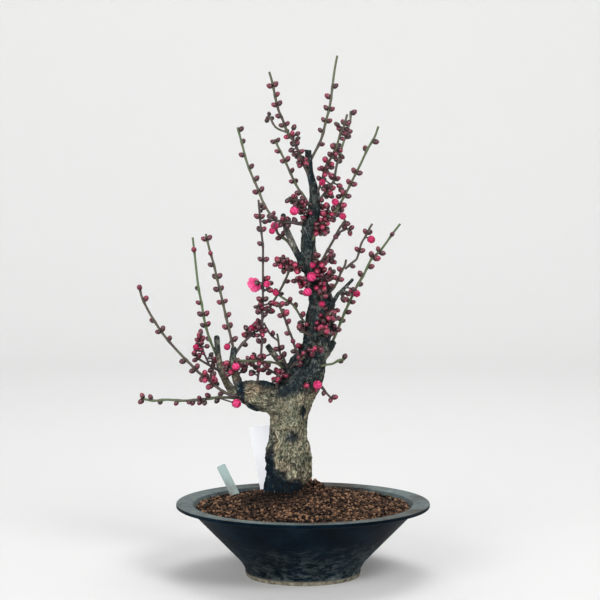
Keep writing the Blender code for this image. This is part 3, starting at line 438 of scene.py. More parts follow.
def lay(at, turn, size):
    """Adds one granule to the soil."""
    lump = granules[chance.randrange(GRANULE_KINDS)].copy()
    lump.transform(Matrix.Translation(at) @ turn @ Matrix.Scale(size, 4))
    soil.from_mesh(lump)
    bpy.data.meshes.remove(lump)


soil = merged_copy("soil")
mound = BVHTree.FromBMesh(soil)
trunk_solid = BVHTree.FromBMesh(merged_copy("trunk"))
body_verts = len(soil.verts)
laid = 0
row_gap = ROW_SHARE * GRANULE_SPACING
rows = int(SOIL_RADIUS / row_gap) + 1
for row in range(-rows, rows + 1):
    for column in range(-rows - 6, rows + 7):
        across = (column + 0.5 * (row % 2)) * GRANULE_SPACING + chance.uniform(-PUSHED, PUSHED)
        back = row * ROW_SHARE * GRANULE_SPACING + chance.uniform(-PUSHED, PUSHED)
        size = chance.uniform(*GRANULE_SIZES)
        turn = Matrix.Rotation(chance.uniform(0, math.tau), 4, "Z") @ Matrix.Rotation(
            chance.uniform(-TILTED, TILTED), 4, "X")
        rise = chance.uniform(*RAISED)
        ground = ray_down(mound, POT_X + across, back)
        if math.hypot(across, back) > SOIL_RADIUS - size:
            continue
        if ground is None or ground < SOIL_LOWEST:
            ground = SOIL_EDGE
        at = Vector((POT_X + across, back, ground + rise))
        if trunk_solid.find_nearest(at)[3] >= TRUNK_CLEAR:
            lay(at, turn, size)
            laid += 1
print(laid, "granules laid in", 2 * rows + 1, "rows")

# %% Heap a handful at the trunk's foot
HEAP_AT = Vector((POT_X + 12, -3, 0))
HEAP_RADIUS = 14.0
HEAP_HEIGHT = 13.0
HEAP_COUNT = 480

for _ in range(HEAP_COUNT):
    around, out = chance.uniform(0, math.tau), math.sqrt(chance.random())
    at = HEAP_AT + Vector((math.cos(around), math.sin(around), 0)) * HEAP_RADIUS * out
    ground = ray_down(mound, at.x, at.y) or SOIL_EDGE
    at.z = ground + chance.uniform(0, HEAP_HEIGHT * (1 - out ** 2))
    if trunk_solid.find_nearest(at)[3] > TRUNK_CLEAR:
        lay(at, Matrix.Rotation(around * 3, 4, "X"), chance.uniform(*GRANULE_SIZES))
        laid += 1
print(laid, "granules in all,", len(soil.faces), "faces in the soil")

# %% [markdown]
# ## The soil's finish
#
# No two granules have the same colour: dry ones are orange-brown, moist ones dark
# chocolate, and a few are nearly black. Noise in space would spread one tone over several
# granules, so each lump carries one random number on all its points, and the material
# turns that number into a colour. Fine crumbs of 1.4 mm break it up. At the trunk's left,
# where it is watered most, the whole mix is darker.

# %% Granule colours
akadama, tree, shader, here = new_material("baked_clay_granules", roughness=0.95, specular_ior_level=0.2)
tint = add(tree, "Attribute", attribute_name="tint")
crumb = add(tree, "TexNoise", {"Vector": here, "Scale": every(1.43), "Detail": 4.0})
mottled = add(tree, "Mix", {0: 0.22, 2: tint.outputs["Fac"], 3: crumb.outputs["Fac"]})
tone = add(tree, "ValToRGB", {"Fac": mottled.outputs[0]},
           stops=((0.05, "#040302"), (0.30, "#19110c"), (0.60, "#4b372b"), (0.95, "#a07b5e")))
tree.links.new(tone.outputs["Color"], shader.inputs["Base Color"])
pores = add(tree, "Bump", {"Height": crumb.outputs["Fac"], "Strength": 0.5, "Distance": 0.0004})
tree.links.new(pores.outputs["Normal"], shader.inputs["Normal"])
soil_piece = new_piece("soil_granules", soil, [akadama], ["soil"], sharp=12)

# %% One tint for each granule
WET_PLACE = Vector((POT_X - 26, -14, 80))
WET_REACH = 31.0
# The mound shows between the granules and is made nearly black: painted shade in the gaps.
MOUND_PAINTED_SHADE = 0.02

values = [MOUND_PAINTED_SHADE] * body_verts
corners_each = len(granules[0].vertices)
points = soil_piece.data.vertices
for number in range(laid):
    first = body_verts + number * corners_each
    wet = math.exp(-((points[first].co / MM - WET_PLACE).length / WET_REACH) ** 2)
    dry = chance.betavariate(1.25, 1.3) * (1 - 0.75 * wet)
    values.extend([dry] * corners_each)
shade = soil_piece.data.attributes.new("tint", "FLOAT", "POINT")
shade.data.foreach_set("value", values)
for mesh in granules:
    bpy.data.meshes.remove(mesh)
print("the driest granule is", round(max(values), 2), "of the way to orange")

# %% [markdown]
# ## The trunk's wood
#
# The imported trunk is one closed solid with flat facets. Here it becomes wood. A copy of
# it is remeshed into an even skin of small squares, smoothed, and then carved, much as a
# sculptor would start from a rough block. Even squares matter, because the carving moves
# single points and would stretch on long facets.

# %% Remesh the trunk
SKIN_CELL = 0.85
SMOOTHINGS = 6


def evenly_meshed(bm, cell):
    """The same closed body with a skin of even squares, made by a remesh modifier."""
    mesh = as_mesh("block", bm)
    block = bpy.data.objects.new("block", mesh)
    bpy.context.scene.collection.objects.link(block)
    skin = block.modifiers.new("even skin", "REMESH")
    skin.mode = "VOXEL"
    skin.voxel_size = cell
    evaluated = block.evaluated_get(bpy.context.evaluated_depsgraph_get())
    made = bmesh.new()
    made.from_mesh(evaluated.to_mesh())
    evaluated.to_mesh_clear()
    bpy.data.objects.remove(block)
    bpy.data.meshes.remove(mesh)
    return made


trunk = evenly_meshed(merged_copy("trunk"), SKIN_CELL)
for _ in range(SMOOTHINGS):
    bmesh.ops.smooth_vert(
        trunk, verts=trunk.verts, factor=0.5, use_axis_x=True, use_axis_y=True, use_axis_z=True)
print("the trunk's skin has", len(trunk.faces), "faces")

# %% [markdown]
# ## Which way the grain runs
#
# Bark tears along the wood's fibres. They climb the trunk and turn level where the heavy
# limb leaves it, so a noise that is drawn out along one axis alone would look wrong there.
# Instead each point gets a second place, in a space that is squeezed along its fibres.
# Round noise marks in that space are long marks along the grain on the tree. The places
# wander a little, as grain does, and they are kept as `fibre` for the material too.

# %% The space along the grain
GRAIN_STRETCH = 0.30
LIMB_FROM = -4.0
LIMB_BLEND = 22.0
LIMB_TOP = 210.0
LIMB_LOW = 146.0


def seen_from_front(point):
    """The inverse of place: where a point in mm shows from the front."""
    reach = (SIGHT_DISTANCE + point.y) / SIGHT_DISTANCE
    return Vector(((point.x - POT_X) / reach, SIGHT_HEIGHT + (point.z - SIGHT_HEIGHT) / reach))


def kept_in(value, low=0.0, high=1.0):
    """The value, or the limit that it is past."""
    return min(max(value, low), high)


def grain_space(point):
    """The point with its way along the fibres shortened: up the trunk, and level in the limb."""
    seen = seen_from_front(point)
    lying = kept_in((LIMB_FROM - seen.x) / LIMB_BLEND)
    lying *= kept_in((LIMB_TOP - seen.y) / LIMB_BLEND)
    lying *= kept_in((seen.y - LIMB_LOW) / LIMB_BLEND)
    up_grain = Vector((point.x, point.y, point.z * GRAIN_STRETCH))
    level_grain = Vector((point.x * GRAIN_STRETCH, point.y, point.z))
    wander = noise.noise_vector(point / 19) * 6 + noise.noise_vector(point / 5) * 1.6
    return up_grain.lerp(level_grain, lying) + wander


print("10 mm up the trunk count as", 10 * GRAIN_STRETCH, "mm for the grain")

# %% [markdown]
# ## Bark: plates, fissures, knots
#
# As a trunk thickens, its outer bark can't stretch. It tears along the grain into long
# wavy fissures, and the ridges between them flake. A smooth noise crosses zero along
# winding lines, so a fissure is put wherever the noise comes close to zero. A second,
# finer one adds the small cracks. Where branches were cut off, the wood has healed over as
# a knot: a swollen ring round a hollow. It could also be sculpted by hand, but then it
# would have to be done again whenever the trunk changes.

# %% The shapes of fissures and knots
FISSURE_SPACING = 3.7
FISSURE_WIDTH = 0.10
CRACK_SPACING = 1.9
CRACK_WIDTH = 0.12
CRACK_SHARE = 0.55
FLAKE_SIZES = (3.6, 1.6)

# Knots, as they look from the front: x, z, half width, half height, depth of the hollow
KNOTS = (
    (-1, 162, 2.4, 6.5, 3.4),
    (-36.5, 112, 4.6, 5.0, 1.8),
    (-9, 139, 3.4, 3.2, 1.6),
    (-15, 119, 2.6, 3.2, 1.0),
    (4, 214, 3.2, 4.6, 2.0),
    (15, 252, 3.0, 4.2, 1.8),
    (-57, 195, 5.0, 3.6, 1.6),
)
KNOT_REACH = 2.2
RING_AT, RING_BREADTH, RING_SHARE = 1.25, 0.38, 0.45
HOLLOW_BREADTH = 0.62


def fissure(point, along_grain):
    """0 on a ridge and 1 deep in a fissure, and how high the ridge there stands."""
    long_line = abs(noise.noise(along_grain / FISSURE_SPACING))
    short_line = abs(noise.noise(along_grain / CRACK_SPACING + Vector((7, 1, 3))))
    deep = max(0.0, 1 - long_line / FISSURE_WIDTH)
    small = CRACK_SHARE * max(0.0, 1 - short_line / CRACK_WIDTH)
    large, little = FLAKE_SIZES
    flake = noise.noise(point / large) + 0.5 * noise.noise(point / little)
    return max(deep, small), flake


def knot_shape(point):
    """How far knots push the skin out, or in where it is negative."""
    seen = seen_from_front(point)
    push = 0.0
    for x, z, half_width, half_height, depth in KNOTS:
        away = math.hypot((seen.x - x) / half_width, (seen.y - z) / half_height)
        if away < KNOT_REACH:
            ring = math.exp(-((away - RING_AT) / RING_BREADTH) ** 2)
            hollow = math.exp(-(away / HOLLOW_BREADTH) ** 2)
            push += RING_SHARE * depth * ring - depth * hollow
    return push


print("fissures every", FISSURE_SPACING, "mm and", len(KNOTS), "knots")

# %% [markdown]
# ## Carving
#
# On thin branches the bark is younger and all of it is shallower. A ray sent inwards from
# each point tells how thick the wood is there. All the moves are worked out on the smooth
# block first, and then every point goes along its normal by its own amount. Knots are
# pressed only into skin that doesn't face backwards, where the list doesn't describe the
# tree. How deep each point lies in a fissure is kept as `torn`, for the colour.

# %% Carve the bark
FISSURE_DEPTH = 1.35
FLAKE_LIFT = 0.85
GNARL_SIZE = 15.0
GNARL_HEIGHT = 1.3
FULL_THICKNESS = 32.0
THIN_SHARE = 0.12
KNOTS_UP_TO = 0.25


def inward_thickness(solid, point, normal):
    """How far it is through the wood from a point on its skin."""
    hit = solid.ray_cast(point - normal * 0.5, -normal)[3]
    return FULL_THICKNESS if hit is None else hit


solid = BVHTree.FromBMesh(trunk)
trunk.normal_update()
torn = trunk.verts.layers.float.new("torn")
fibre = trunk.verts.layers.float_vector.new("fibre")
moves = []
for vert in trunk.verts:
    thick = inward_thickness(solid, vert.co, vert.normal)
    share = kept_in(thick / FULL_THICKNESS, THIN_SHARE)
    along_grain = grain_space(vert.co)
    vert[fibre] = along_grain * MM
    crack, lift = fissure(vert.co, along_grain)
    push = share * (FLAKE_LIFT * lift - FISSURE_DEPTH * crack ** 1.5)
    push += share * GNARL_HEIGHT * noise.noise(vert.co / GNARL_SIZE)
    if vert.normal.y < KNOTS_UP_TO:
        push += knot_shape(vert.co)
    vert[torn] = crack * math.sqrt(share)
    moves.append(vert.normal * push)
for vert, move in zip(trunk.verts, moves):
    vert.co += move
print("the deepest point went in by", round(max(m.length for m in moves), 1), "mm")

# %% [markdown]
# ## Where the bark is pale and where it is dark
#
# Old bark low on the trunk has weathered to tan. The upper stem is blue-grey, and the
# damp foot and left side are nearly black, partly as damp bark and partly as painted shade
# on the side away from the key light. There are also patches: a pale scar at the end of the
# limb, pale old stubs, a dark saddle, and a painted highlight down the trunk's right side.
# A short list of patches, each with a place, a size and a strength, describes this better
# than any noise could, and noise frays their edges.

# %% Pale and dark patches
PALE_UNDER = (204.0, 178.0)
PALE_LOW = 0.76
PALE_HIGH = 0.24
FRAY_SIZE, FRAY_REACH = 7, 3.0
MOTTLE_SIZE, MOTTLE_STRENGTH = 11, 0.28

# x, z, half width, half height as they look from the front, and how much paler or darker
PATCHES_AND_PAINTED_LIGHT = (
    # The strong dark patches low on the left and at the foot are damp bark and partly painted shade.
    (-35, 110, 6, 15, -1.1), (-32, 140, 4.5, 11, -0.3), (-27, 88, 13, 11, -1.2),
    (-7, 85, 10, 8, -1.1), (9, 93, 4, 9, 0.6), (-0.5, 162, 2.6, 7.0, -0.9),
    (-9, 139, 7, 7, -0.35), (-2, 114, 11, 14, 0.2), (6.5, 110, 3.5, 20, 0.3),
    (-37, 113, 3.0, 3.2, 0.7), (-51, 186, 7, 11, 0.3), (-62, 184, 3.5, 16, -0.7),
    (-53, 167, 8, 4.5, -0.75), (-30, 195, 16, 5, -0.4), (-32, 180, 9, 8, -0.14),
    (-12, 186, 15, 7, -0.5), (-28, 216, 11, 14, 0.42), (24, 220, 8, 15, 0.3),
    (-66, 208, 7, 17, 0.35), (-82, 215, 8, 22, 0.35), (-11, 338, 9, 24, 0.42),
    # (17, 305) is a painted highlight down the trunk's right side.
    (12, 338, 4, 20, 0.25), (40, 287, 13, 9, 0.32), (17, 305, 5, 26, 0.12),
    (-2, 237, 6, 20, -0.2),
)


def paleness(point, faces_front):
    """0 for moist dark bark and 1 for dry tan bark; part of the dark is painted shade, and one patch is a
    painted highlight.
    """
    fray = noise.noise_vector(point / FRAY_SIZE) * FRAY_REACH
    seen = seen_from_front(point + fray)
    high, low = PALE_UNDER
    value = PALE_HIGH + (PALE_LOW - PALE_HIGH) * kept_in((high - seen.y) / (high - low))
    for x, z, half_width, half_height, amount in PATCHES_AND_PAINTED_LIGHT:
        away = ((seen.x - x) / half_width) ** 2 + ((seen.y - z) / half_height) ** 2
        value += amount * math.exp(-away) * faces_front
    return kept_in(value + MOTTLE_STRENGTH * noise.noise(point / MOTTLE_SIZE + Vector((9, 2, 4))))


trunk.normal_update()
pale = trunk.verts.layers.float.new("pale")
for vert in trunk.verts:
    faces_front = kept_in(0.7 - 1.2 * vert.normal.y, 0.25)
    vert[pale] = paleness(vert.co, faces_front)
print("average paleness", round(sum(v[pale] for v in trunk.verts) / len(trunk.verts), 2))

# %% [markdown]
# ## The bark's finish: four kinds of bark
#
# Weathered plum bark is dry, rough and without any gloss. Each kind of it has a colour
# ramp of its own: wet bark is blue-black, the bark of the upper stem is blue-grey, and
# dead outer bark is tan on the trunk and silver on the stubs higher up. One noise drives
# all four. It mixes grain of 1.7 mm, which follows the fibres, with round blotches of
# 5 mm. The paleness of each point then chooses among the ramps.

# %% Old bark: grain and tones
old_bark, tree, shader, here = new_material("weathered_plum_bark", roughness=0.86, specular_ior_level=0.2)
along_fibre = add(tree, "Attribute", attribute_name="fibre").outputs["Vector"]
grain = add(tree, "TexNoise", {"Vector": along_fibre, "Scale": every(1.67), "Detail": 7.0,
                               "Roughness": 0.72})
blotch = add(tree, "TexNoise", {"Vector": here, "Scale": every(5), "Detail": 6.0, "Roughness": 0.7})
both = add(tree, "Mix", {0: 0.42, 2: grain.outputs["Fac"], 3: blotch.outputs["Fac"]})
dry = add(tree, "ValToRGB", {"Fac": both.outputs[0]},
          stops=((0.40, "#211f1a"), (0.46, "#5e5b50"), (0.525, "#938d7c"), (0.60, "#d8d1bd")))
silver = add(tree, "ValToRGB", {"Fac": both.outputs[0]},
             stops=((0.39, "#1d2226"), (0.455, "#50575b"), (0.52, "#878d8e"), (0.60, "#c6c9c6")))
grey = add(tree, "ValToRGB", {"Fac": both.outputs[0]},
           stops=((0.40, "#070d12"), (0.47, "#1e252a"), (0.54, "#414a4d"), (0.62, "#868e8f")))
# The wet ramp also colours the painted shade low on the trunk's left side.
wet = add(tree, "ValToRGB", {"Fac": both.outputs[0]},
          stops=((0.40, "#010a13"), (0.48, "#021524"), (0.57, "#07293d"), (0.67, "#2b4d60")))
up = add(tree, "SeparateXYZ", {"Vector": here})
high_up = add(tree, "MapRange", {"Value": up.outputs["Z"], "From Min": 0.200, "From Max": 0.260})
dead = add(tree, "Mix", {0: high_up.outputs["Result"], 6: dry.outputs["Color"],
                         7: silver.outputs["Color"]}, data_type="RGBA")
pale_here = add(tree, "Attribute", attribute_name="pale")
greyness = add(tree, "MapRange", {"Value": pale_here.outputs["Fac"], "From Min": 0.02, "From Max": 0.30})
dryness = add(tree, "MapRange", {"Value": pale_here.outputs["Fac"], "From Min": 0.36, "From Max": 0.74})
damp_and_shaded_wood = add(tree, "Mix", {0: greyness.outputs["Result"], 6: wet.outputs["Color"],
                              7: grey.outputs["Color"]}, data_type="RGBA")
wood = add(tree, "Mix", {0: dryness.outputs["Result"], 6: damp_and_shaded_wood.outputs[2],
                         7: dead.outputs[2]}, data_type="RGBA")
print("the four kinds of bark take", len(tree.nodes), "nodes")

# %% [markdown]
# ## The bark's finish: tints, lichen and painted shade in cracks
#
# Real bark is never one hue, so a broad noise multiplies it with faint green, cream and
# pink. Specks of grey-green lichen sit on it. The carved fissures get painted shade from
# `torn`, and hair cracks that are too fine to carve are drawn as painted shade by the same
# trick as the fissures: dark where a noise along the fibres comes near its middle value.

# %% Old bark: tints, lichen and painted shade in cracks
hue = add(tree, "TexNoise", {"Vector": here, "Scale": every(16.1), "Detail": 4.0, "Roughness": 0.6})
hues = add(tree, "ValToRGB", {"Fac": hue.outputs["Fac"]},
           stops=((0.36, "#b0c2b8"), (0.46, "#f3f5e8"), (0.54, "#fff7ea"), (0.64, "#d6c3b6")))
tinted = add(tree, "Mix", {0: 0.9, 6: wood.outputs[2], 7: hues.outputs["Color"]},
             data_type="RGBA", blend_type="MULTIPLY")
specks = add(tree, "TexNoise", {"Vector": here, "Scale": every(3.85), "Detail": 3.0, "Roughness": 0.5})
lichen = add(tree, "MapRange", {"Value": specks.outputs["Fac"], "From Min": 0.62, "From Max": 0.70,
                                "To Max": 0.4})
spotted = add(tree, "Mix", {0: lichen.outputs["Result"], 6: tinted.outputs[2], 7: srgb("#7c8c78")},
              data_type="RGBA")
torn_here = add(tree, "Attribute", attribute_name="torn")
# Painted shade in the carved fissures, by how deep each point lies in one.
deep = add(tree, "MapRange", {"Value": torn_here.outputs["Fac"], "From Min": 0.05, "From Max": 0.75,
                              "To Max": 0.8})
winding = add(tree, "TexNoise", {"Vector": along_fibre, "Scale": every(3.7), "Detail": 3.0,
                                 "Roughness": 0.55, "Distortion": 0.8})
off_line = add(tree, "Math", {0: winding.outputs["Fac"], 1: 0.5}, operation="SUBTRACT")
from_line = add(tree, "Math", {0: off_line.outputs["Value"]}, operation="ABSOLUTE")
hair_crack_shade = add(tree, "MapRange", {"Value": from_line.outputs["Value"], "From Min": 0.0,
                                    "From Max": 0.026, "To Min": 0.8, "To Max": 0.0})
crack_shade = add(tree, "Math", {0: deep.outputs["Result"], 1: hair_crack_shade.outputs["Result"]},
             operation="MAXIMUM")
# The near-black crack colour is painted shade in fissures and hair cracks.
bark_tone = add(tree, "Mix", {0: crack_shade.outputs["Value"], 6: spotted.outputs[2], 7: srgb("#100f0d")},
                data_type="RGBA")
tree.links.new(bark_tone.outputs[2], shader.inputs["Base Color"])
ridges = add(tree, "Bump", {"Height": both.outputs[0], "Strength": 0.8, "Distance": 0.0011})
tree.links.new(ridges.outputs["Normal"], shader.inputs["Normal"])
new_piece("trunk_carved", trunk, [old_bark], ["trunk"])

# %% [markdown]
# ## Stems that are smooth curves
#
# A shoot bends gently from bud to bud. Its route is given by a few points, and a curve
# through them fills in the rest. Blender's curve object sweeps a round section along it
# with a radius of its own at each point, so a shoot can taper and swell at its joints. A
# skin modifier could do it too, but its joints come out lumpy. The result is turned into a
# mesh, since the export keeps meshes alone.

# %% Curve tools
STEM_STEP = 1.5


def smooth_route(points, step=STEM_STEP):
    """Points close together on a smooth curve through the given ones."""
    ends = [2 * points[0] - points[1], *points, 2 * points[-1] - points[-2]]
    fine = []
    for a, b, c, d in zip(ends, ends[1:], ends[2:], ends[3:]):
        count = max(2, round((c - b).length / step))
        for number in range(count):
            t = number / count
            fine.append(0.5 * (2 * b + (c - a) * t + (2 * a - 5 * b + 4 * c - d) * t * t
                               + (3 * b - a - 3 * c + d) * t ** 3))
    return fine + [points[-1]]


def run_lengths(points):
    """How far along its route each point lies."""
    run = [0.0]
    for a, b in zip(points, points[1:]):
        run.append(run[-1] + (b - a).length)
    return run


def add_stem(bm, points, radii, roundness=2):
    """Sweeps a round closed stem along points into a mesh, and gives its new points."""
    curve = bpy.data.curves.new("stem", "CURVE")
    curve.dimensions = "3D"
    curve.bevel_depth = 1.0
    curve.bevel_resolution = roundness
    curve.use_fill_caps = True
    spline = curve.splines.new("POLY")
    spline.points.add(len(points) - 1)
    for knot, point, radius in zip(spline.points, points, radii):
        knot.co = (*point, 1)
        knot.radius = radius
    swept = bpy.data.objects.new("stem", curve)
    before = len(bm.verts)
    bm.from_mesh(swept.to_mesh())
    swept.to_mesh_clear()
    bpy.data.objects.remove(swept)
    bpy.data.curves.remove(curve)
    bm.verts.ensure_lookup_table()
    new = bm.verts[before:]
    bmesh.ops.remove_doubles(bm, verts=new, dist=0.001)
    bm.verts.ensure_lookup_table()
    return bm.verts[before:]


def spread_depths(route, depths):
    """A route from the front view in space, its depth going evenly from foot to tip."""
    run = run_lengths([Vector(p) for p in route])
    first, last = depths
    return [place(x, z, first + (last - first) * s / run[-1]) for (x, z), s in zip(route, run)]


print("a route of three points becomes",
      len(smooth_route([Vector((0, 0, 0)), Vector((0, 5, 9)), Vector((0, 6, 20))])), "points")

# %% [markdown]
# ## The shoots and the spurs
#
# Each shoot grew in one summer, from a bud on the old wood. Pruning made them fork and
# cross. The list gives for each: its name in the model, how far behind the pot's axis it
# starts and ends, its radius at foot and tip, the share of its length that is bare at the
# foot, how brown its bark is, and the points it passes as seen from the front. The spurs
# are short stubs of older growth, and they carry most of the buds on the trunk. A rule
# could grow shoots like a real tree's, but only a list can grow these.

# %% The list of shoots
Shoot = namedtuple("Shoot", "name depths radii bare brown route")
SHOOTS = (
    Shoot("shoot_crown_right", (2, 30), (1.48, 1.15), 0.10, 0.55,
          ((5, 410), (10, 420), (18, 436), (23, 455), (27, 471), (31, 502), (34, 519))),
    Shoot("shoot_crown_left", (0, -34), (1.48, 1.15), 0.12, 0.65,
          ((6, 400), (0.5, 411), (-5, 425), (-10, 435), (-16, 444), (-20, 455), (-24, 464),
           (-27, 475), (-30.5, 492), (-33.6, 503))),
    Shoot("shoot_crown_left", (-17, -16), (1, 1.15), 0.35, 0.65,
          ((-16, 443), (-27, 448), (-33, 458))),
    Shoot("shoot_left_high", (10, 34), (1.48, 1.15), 0.20, 0.5,
          ((-2, 314), (-7, 321), (-15, 334), (-25.5, 343), (-27, 354), (-30, 358), (-38.6, 371),
           (-45, 387), (-52, 403), (-57, 417), (-60, 429), (-65, 448))),
    Shoot("shoot_left_upright", (0, -22), (1.25, 1.05), 0.08, 0.95,
          ((-46, 190), (-44, 207), (-42, 220), (-41, 239), (-40.6, 260), (-40, 282), (-40, 314),
           (-40, 329), (-41.6, 344), (-43, 358), (-44.4, 376))),
    Shoot("shoot_left_cross", (-14, 40), (1.45, 1.15), 0.15, 0.7,
          ((-69.5, 219), (-63, 229), (-54, 239), (-46, 247), (-40, 258), (-33, 269), (-25, 282),
           (-18, 295), (-12, 310))),
    Shoot("shoot_limb_front", (-16, -26), (1.45, 1.15), 0.07, 0.6,
          ((-69.5, 227), (-72, 238), (-76, 255), (-81, 277), (-85, 294), (-89, 311), (-94, 329),
           (-97, 342))),
    Shoot("twig_left_slant", (0, -12), (1.15, 1.15), 0.35, 0.45,
          ((8, 248), (0, 256), (-7, 267), (-11, 272), (-23, 280))),
    Shoot("twig_left_fork", (-4, -26), (1.3, 1.15), 0.2, 0.8,
          ((0, 214), (-7, 226), (-11, 238), (-14, 245), (-18, 257), (-24.5, 272))),
    Shoot("twig_saddle_left", (8, -6), (1.2, 1.15), 0.3, 0.8,
          ((-10, 202), (-15, 208), (-20, 219), (-23, 223), (-25, 238), (-26, 242))),
    Shoot("twig_saddle_left", (-3, 4), (0.9, 1.15), 0.3, 0.8,
          ((-25, 235), (-32, 241), (-36, 247), (-39, 253))),
    Shoot("twig_saddle_right", (2, -22), (1.15, 1.15), 0.5, 0.8,
          ((-8, 203), (-12, 208), (-8, 212), (-2, 216), (1, 219))),
    Shoot("twig_level", (8, -24), (1.2, 1.15), 0.3, 0.35,
          ((-20, 208), (-28, 213), (-41, 214), (-48, 215), (-60, 215), (-66, 216))),
    Shoot("twig_low", (10, 16), (1.05, 1.15), 0.5, 0.8,
          ((-14, 196), (-20, 200), (-27, 202), (-37, 208))),
    Shoot("shoot_right_long", (12, 30), (1.48, 1.15), 0.19, 0.25,
          ((27, 229), (33, 242), (39, 257), (46, 273), (54.5, 291), (60, 300),
           (64, 308), (69, 318), (76, 324), (83, 333), (90, 343), (97, 352))),
    Shoot("shoot_right_inner", (2, -30), (1.35, 1.15), 0.38, 0.75,
          ((18, 272), (24, 280), (33, 292), (38, 304), (41.5, 310), (43, 316))),
    Shoot("shoot_right_inner", (-24, -38), (1.15, 1.15), 0.1, 0.75,
          ((42, 307), (50, 314), (54, 318), (58, 332), (62, 339), (66, 347), (69, 352))),
    Shoot("shoot_right_fork", (-2, -52), (1.35, 1.15), 0.3, 0.8,
          ((12, 303), (22, 321), (27, 330), (31.5, 338), (36, 347), (42, 355))),
    Shoot("shoot_right_fork", (-41, -42), (1, 1.15), 0.5, 0.8,
          ((34, 343), (37, 344), (43, 347), (47, 346))),
    Shoot("shoot_right_high", (0, -34), (1.48, 1.15), 0.2, 0.4,
          ((6, 330), (16, 347), (23, 358), (33.5, 366), (38, 374), (43, 383), (49, 395), (54, 405),
           (58, 413), (64, 426), (71, 438), (75, 449))),
    Shoot("shoot_right_back", (2, 32), (1.45, 1.15), 0.2, 0.6,
          ((12, 371), (18, 378), (31, 395), (32, 401), (33.5, 410), (36, 418), (39, 429),
           (42, 438), (44.5, 446), (47, 454), (47.6, 464))),
    Shoot("shoot_right_front", (0, -16), (1.35, 1.15), 0.22, 0.55,
          ((11, 378), (15, 385), (20, 400), (22, 408), (27, 416), (31, 424), (34, 431), (37, 441),
           (41, 450), (44, 461))),
    Shoot("shoot_left_inner", (2, 38), (1.35, 1.15), 0.25, 0.5,
          ((8, 366), (2, 378), (-4, 386), (-9, 395), (-13, 404), (-19, 417), (-24, 427), (-28, 436))),
    Shoot("twig_right_low", (-2, -8), (1.15, 1.15), 0.45, 0.3,
          ((12, 208), (23, 211), (29.5, 212), (35, 215), (42, 217))),
    Shoot("twig_right_down", (-6, -20), (1.05, 1.15), 0.6, 0.8,
          ((8, 194), (18, 190), (23, 183), (29, 177))),
    Shoot("shoot_far_left", (0, -26), (1.48, 1.15), 0.12, 0.7,
          ((-62, 181), (-71, 180), (-76, 182), (-84, 187), (-95, 196), (-104, 203), (-112, 211),
           (-120, 219), (-131, 231), (-140, 242), (-148, 254), (-155, 266), (-161, 279),
           (-163.5, 290))),
    Shoot("shoot_level_left", (6, 18), (1.45, 1.15), 0.24, 0.45,
          ((-60, 176), (-73, 178), (-87, 178), (-103, 176), (-120, 175), (-136, 176), (-149, 175),
           (-161.5, 177))),
    Shoot("shoot_limb_back", (26, 42), (1.45, 1.15), 0.08, 0.08,
          ((-84, 215), (-87, 222), (-91, 231), (-95, 242), (-99, 258), (-101, 271), (-104, 286),
           (-106, 302), (-108, 321), (-110, 338.5))),
    Shoot("twig_limb_out", (18, 4), (1.35, 1.15), 0.35, 0.8,
          ((-80, 201), (-84, 205), (-89, 208), (-98, 213), (-106, 218))),
    Shoot("twig_limb_out", (8.5, 2), (1.1, 1.15), 0.32, 0.8,
          ((-93.4, 209.8), (-97, 218), (-100, 225), (-103, 236))),
)

# Short flowering spurs on the old wood, in the same terms
SPURS = (
    Shoot("spur_left_top", (0, -14), (1.7, 1.2), 0.45, 0.8,
          ((12, 370), (0, 374), (-14, 378))),
    Shoot("spur_left_upper", (4, -8), (1.7, 1.2), 0.35, 0.8,
          ((4, 350), (-8, 353), (-27, 355))),
    Shoot("spur_left_middle", (6, -12), (1.7, 1.2), 0.45, 0.8,
          ((8, 306.5), (-8, 310), (-24, 312))),
    Shoot("spur_left_lower", (4, -6), (1.6, 1.2), 0.6, 0.8,
          ((12, 290), (2, 293), (-7, 295))),
    Shoot("spur_right_upper", (6, 4), (1.6, 1.2), 0.45, 0.8,
          ((8, 312), (20, 315), (30, 318))),
    Shoot("spur_right_middle", (0, -14), (1.6, 1.2), 0.5, 0.8,
          ((14, 296), (23, 299), (30, 302))),
    Shoot("spur_right_lower", (0, -24), (1.6, 1.2), 0.7, 0.8,
          ((19, 258), (23, 260), (27, 262))),
    Shoot("spur_front_middle", (0, -28), (1.6, 1.2), 0.62, 0.8,
          ((15, 240), (18, 243), (20, 246))),
    Shoot("spur_front_left", (0, -14), (1.55, 1.2), 0.6, 0.8,
          ((14, 238), (5, 242), (-3, 245))),
    Shoot("spur_front_low", (0, -30), (1.55, 1.2), 0.75, 0.8,
          ((10, 224), (13, 226), (15, 228))),
    Shoot("spur_limb_top", (2, -10), (2, 1.4), 0.6, 0.8,
          ((-27, 180), (-26, 192), (-24, 201))),
    Shoot("spur_front_high", (6, -16), (1.55, 1.1), 0.6, 0.8,
          ((8, 318), (11, 318), (14, 318))),
    Shoot("spur_front_bloom", (6, -16), (1.55, 1.1), 0.7, 0.8,
          ((10, 292), (8, 292), (6, 292))),
    Shoot("spur_front_knot", (6, -22), (1.55, 1.1), 0.66, 0.8,
          ((17, 277), (18, 279), (19, 281))),
    Shoot("spur_back_low", (4, 36), (1.6, 1.2), 0.6, 0.8,
          ((13, 236), (10, 242), (6, 250))),
    Shoot("spur_back_high", (4, 30), (1.6, 1.2), 0.5, 0.8,
          ((5, 334), (4, 342), (2, 352))),
)

print(len(SHOOTS), "shoots and twigs,", len(SPURS), "spurs")

# %% [markdown]
# ## Where the buds sit
#
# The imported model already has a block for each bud, a small four-sided spindle. Its tip
# is easy to find: a corner where four faces meet in a sharp point. The four corners next
# to the tip are the bud's belly. From those five points follow its place, its direction
# and its length, and the fine bud is set exactly there.

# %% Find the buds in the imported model
SHARP_POINT = math.radians(124)
BELLY_SHARE = 0.45
MOST_UNEVEN = 1.5
BUD_LENGTHS = (4.0, 9.0)


